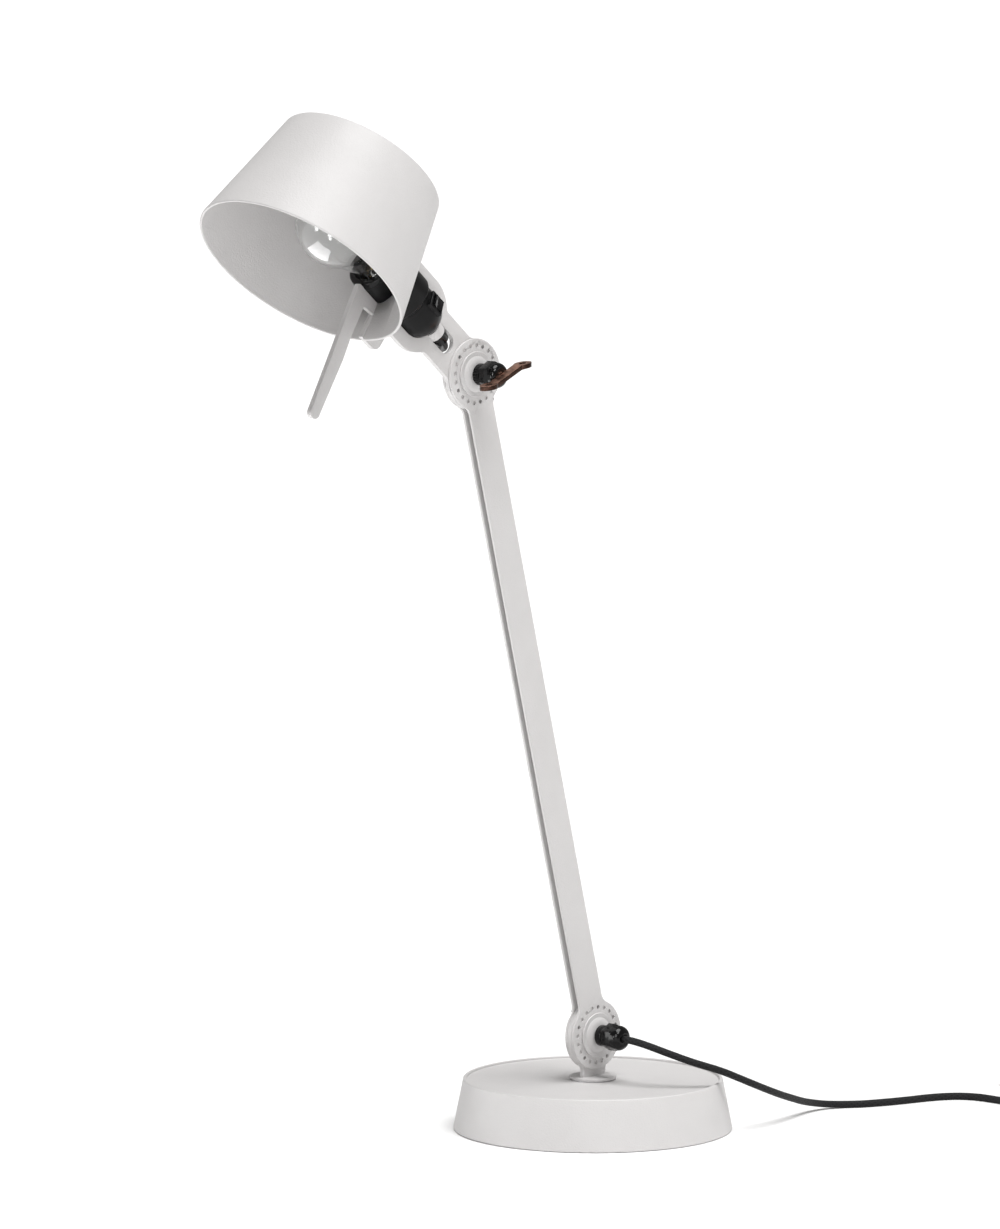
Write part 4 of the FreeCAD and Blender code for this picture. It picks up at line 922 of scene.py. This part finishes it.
def cup_outline():
    """The dished washer, from its rim on the disc to its crown."""
    outside = [(15.5, 4.05), (15.5, 5.1, 0.5), (12.6, 7.5, 3.0), (8.2, 8.55, 2.5), (5.0, 8.55)]
    inside = [(5.0, 7.35), (8, 7.35), (12, 6.2), (14.3, 4.05)]
    return outside + inside


class LAMP_OT_hinges(bpy.types.Operator):
    """The cup washers, the cord gland, the knob and the small hinge parts"""

    bl_idname = "lamp.hinges"
    bl_label = "Hinges"

    def execute(self, context):
        white, nylon = finish_of("white"), finish_of("nylon")
        for level, centre, body in (("lower", LOWER, "foot"), ("upper", UPPER, "arm")):
            place = hinge_place(centre)
            for side, turn in (("front", 0), ("rear", math.pi)):
                there = place @ Matrix.Rotation(turn, 4, "X")
                cup = lathe(cup_outline(), steps=96)
                name = f"{level}_cup_washer_{side}"
                made(name, cup, there, white, body, (f"{level}_cup_{side}",))
        finish_nodes(lower_pivot_tube="steel", upper_pivot_tube="steel")
        for node, width, body, angle in (
            ("gland_body", 0.3, "foot", 25),
            ("gland_nut", 0.35, "foot", 24),
            ("lower_rear_nut", 0.4, "foot", 25),
            ("clamp_collar", 0.25, "arm", 25),
            ("clamp_knob", 0.35, "clamp", 24),
        ):
            softened(node, width, nylon, body, angle)
        softened("upper_ring_nut", 0.25, finish_of("steel"), "arm")
        finish_nodes(gland_seal="rubber", lead_bush="nylon")
        return {"FINISHED"}


class LAMP_OT_lever(bpy.types.Operator):
    """The copper wing lever"""

    bl_idname = "lamp.lever"
    bl_label = "Wing lever"

    def execute(self, context):
        lever = softened("wing_lever", 0.5, finish_of("copper"), "clamp", angle=35, segments=4)
        # how far each face turns up or down; the copper paints shade on the faces turned sideways
        mark = lever.data.attributes.new("broad_face", "FLOAT", "FACE")
        for face in lever.data.polygons:
            mark.data[face.index].value = abs(face.normal.z)
        return {"FINISHED"}


# Head


# Lampholder and bulb in millimetres: radii, and distances forward from the upper hinge
HOLDER_RADIUS = 19.4
SLEEVE_REAR = 84
SLEEVE_FRONT = 121.8
COLLAR_REAR = 122.0
COLLAR_FRONT = 126.0
CAP_REAR = 97
THREAD_START = 98
THREAD_PITCH = 3.6
THREAD_TURNS = 5
THREAD_WAVE = ((13.0, 0), (13.3, 0.25), (13.45, 0.5), (13.3, 0.75))  # radius and share of the pitch
BALL_CENTRE = 168
BALL_JOIN_RADIUS = 24
GLASS_NECK_RADIUS = 12.6
GLASS_WAIST_RADIUS = 14.3
GLASS_WAIST = 121.0
GLASS_WALL = 0.8


class LAMP_OT_holder(bpy.types.Operator):
    """The lampholder with its cap, switch, sleeve, ring and inner parts, and its lead"""

    bl_idname = "lamp.holder"
    bl_label = "Lampholder"

    def execute(self, context):
        black, nylon = finish_of("holder"), finish_of("nylon")
        place = holder_place()
        body = [
            (12.1, SLEEVE_REAR),
            (17.4, SLEEVE_REAR, 0.3),
            (18.3, SLEEVE_REAR + 0.7, 0.5),
            (HOLDER_RADIUS, SLEEVE_REAR + 2.2, 0.6),
            (HOLDER_RADIUS, SLEEVE_FRONT, 0.3),
            (16.5, SLEEVE_FRONT),
            (16.5, SLEEVE_REAR + 4),
            (12.1, SLEEVE_REAR + 4),
        ]
        sleeve = lathe(body, steps=128)
        made("holder_sleeve", sleeve, place, black, "head", ("holder_body",))
        collar = [
            (15.0, COLLAR_REAR),
            (HOLDER_RADIUS, COLLAR_REAR, 0.3),
            (HOLDER_RADIUS, COLLAR_FRONT - 0.8, 0.8),
            (18.2, COLLAR_FRONT, 0.8),
            (15.4, COLLAR_FRONT, 0.4),
            (15.0, COLLAR_FRONT - 0.8),
        ]
        ring = lathe(collar, steps=128)
        made("holder_front_ring", ring, place, nylon, "head", ("holder_ring",))
        softened("holder_cap", 0.6, black, "head", angle=35)
        softened("switch_rocker", 0.3, nylon, "rocker")
        softened("strain_relief", 0.4, nylon, "head")
        finish_nodes(holder_nipple="steel", holder_nut="steel", holder_insert="porcelain")
        finish_nodes(holder_shell="brass", centre_contact="brass")
        self.lead()
        return {"FINISHED"}

    def lead(self):
        """The short lead in its smooth cover."""
        mesh = bmesh.new()
        mesh.from_mesh(frame["nodes"]["holder_lead"].data)
        bmesh.ops.remove_doubles(mesh, verts=mesh.verts, dist=2 * SPECK)
        wire = finish_of("wire")
        made("holder_lead_cover", mesh, AT_ORIGIN, wire, "head", ("holder_lead",), 50)


class LAMP_OT_bulb(bpy.types.Operator):
    """The clear bulb: glass, stem, filament and screw cap"""

    bl_idname = "lamp.bulb"
    bl_label = "Bulb"

    def execute(self, context):
        place = holder_place()
        envelope = lathe(self.glass_outline(context), steps=128)
        made("bulb_envelope", envelope, place, finish_of("glass"), "head", ("bulb_glass",), 60)
        ridges = [(12.6, CAP_REAR), (13.1, CAP_REAR)]
        for i in range(THREAD_TURNS):
            low = THREAD_START + i * THREAD_PITCH
            ridges += [(radius, low + THREAD_PITCH * share) for radius, share in THREAD_WAVE]
        ridges += [(13.0, 116.2), (13.1, 118.2), (12.9, 119), (12.6, 119)]
        cap = lathe(ridges, steps=96)
        made("bulb_screw_cap", cap, place, finish_of("brass"), "head", ("bulb_cap",), 50)
        finish_nodes(bulb_insulator="nylon", bulb_tip="steel", bulb_stem="glass", bulb_filament="tungsten")
        return {"FINISHED"}

    def glass_outline(self, context):
        """Outer skin from the neck to the tip, then the inner skin back to the neck."""
        ball = context.scene.lamp_head.bulb_radius / MM
        skins = []
        join = math.asin(BALL_JOIN_RADIUS / ball)
        for inset in (0.0, GLASS_WALL):
            radius = ball - inset
            neck_r = GLASS_NECK_RADIUS - inset
            low_r = GLASS_WAIST_RADIUS - inset
            join_r = radius * math.sin(join)
            join_h = BALL_CENTRE - radius * math.cos(join)
            rise = math.atan2(join_r - low_r, join_h - GLASS_WAIST)
            waist_r = (join_r - low_r) / (1 - math.cos(2 * rise))
            waist_centre = (low_r + waist_r, GLASS_WAIST)
            waist = arc_points(waist_centre, waist_r, 180, 180 - math.degrees(2 * rise), 14)
            ball_arc = arc_points((0, BALL_CENTRE), radius, math.degrees(join) - 90, 90, 40)
            skins.append([(neck_r, 116.0), (neck_r, 119.4)] + waist + ball_arc[1:])
        outer, inner = skins
        outer[-1] = (0.0, BALL_CENTRE + ball)
        inner[-1] = (0.0, BALL_CENTRE + ball - GLASS_WALL)
        return outer + inner[::-1]


# The shade's cut: how far forward it ends, and between which heights of the head its slit lies
CUT_END = 150
SLIT_LOW = -70
SLIT_HIGH = -10


class LAMP_OT_shade(bpy.types.Operator):
    """The shade, with the opening for the lampholder and the slit for the plate"""

    bl_idname = "lamp.shade"
    bl_label = "Shade"

    def execute(self, context):
        head = context.scene.lamp_head
        rim_r, top_r, rim, top, wall = (
            value / MM for value in (head.rim_radius, head.top_radius, head.rim, head.top, head.wall)
        )
        outline = [
            (0.0, top),
            (top_r, top, 3.0),
            (rim_r, rim, wall * 0.48),
            (rim_r - wall, rim, wall * 0.48),
            (top_r - wall, top - wall, 2.0),
            (0.0, top - wall),
        ]
        cone = lathe(outline, closed=False, steps=224)
        place, white = shade_place(), finish_of("white")
        piece = made("lamp_shade", cone, place, white, "head", ("shade",))
        bore = head.bore_radius / MM
        opening = [(0, SLEEVE_REAR), (bore, SLEEVE_REAR), (bore, CUT_END), (0, CUT_END)]
        cutter_mesh = lathe(opening, False, 96)
        half = head.slit / 2 / MM
        join_mesh(cutter_mesh, block((-half, SLIT_LOW, SLEEVE_REAR), (half, SLIT_HIGH, CUT_END)))
        data = bpy.data.meshes.new("shade_cutter")
        cutter_mesh.transform(holder_place())
        cutter_mesh.to_mesh(data)
        cutter_mesh.free()
        cutter = bpy.data.objects.new("shade_cutter", data)
        context.scene.collection.objects.link(cutter)
        cut = piece.modifiers.new("openings", "BOOLEAN")
        cut.operation = "DIFFERENCE"
        cut.solver = "EXACT"
        cut.use_self = True
        cut.object = cutter
        baked(piece)
        bpy.data.objects.remove(cutter)
        bpy.data.meshes.remove(data)
        return {"FINISHED"}


SETTINGS = {
    "lamp_paint": LampPaintSettings,
    "lamp_head": LampHeadSettings,
    "lamp_cord": LampCordSettings,
    "lamp_studio": LampStudioSettings,
}
STEPS = [
    LAMP_OT_stage,
    LAMP_OT_cord,
    LAMP_OT_base,
    LAMP_OT_plates,
    LAMP_OT_hinges,
    LAMP_OT_lever,
    LAMP_OT_holder,
    LAMP_OT_bulb,
    LAMP_OT_shade,
]


class LAMP_PT_panel(bpy.types.Panel):
    """The lamp's settings and steps"""

    bl_idname = "LAMP_PT_panel"
    bl_label = "Desk lamp"
    bl_space_type = "VIEW_3D"
    bl_region_type = "UI"
    bl_category = "Desk lamp"

    def draw(self, context):
        for name, group in SETTINGS.items():
            part = self.layout.box()
            part.label(text=group.__doc__)
            for key in group.__annotations__:
                part.prop(getattr(context.scene, name), key)
        for step in STEPS:
            self.layout.operator(step.bl_idname)


def register():
    for kind in list(SETTINGS.values()) + STEPS + [LAMP_PT_panel]:
        bpy.utils.register_class(kind)
    for name, group in SETTINGS.items():
        setattr(bpy.types.Scene, name, bpy.props.PointerProperty(type=group))


def unregister():
    for name in SETTINGS:
        delattr(bpy.types.Scene, name)
    for kind in [LAMP_PT_panel] + STEPS[::-1] + list(SETTINGS.values()):
        bpy.utils.unregister_class(kind)


def main():
    register()
    for step in STEPS:
        group, name = step.bl_idname.split(".")
        getattr(getattr(bpy.ops, group), name)()


if __name__ == "__main__":
    main()
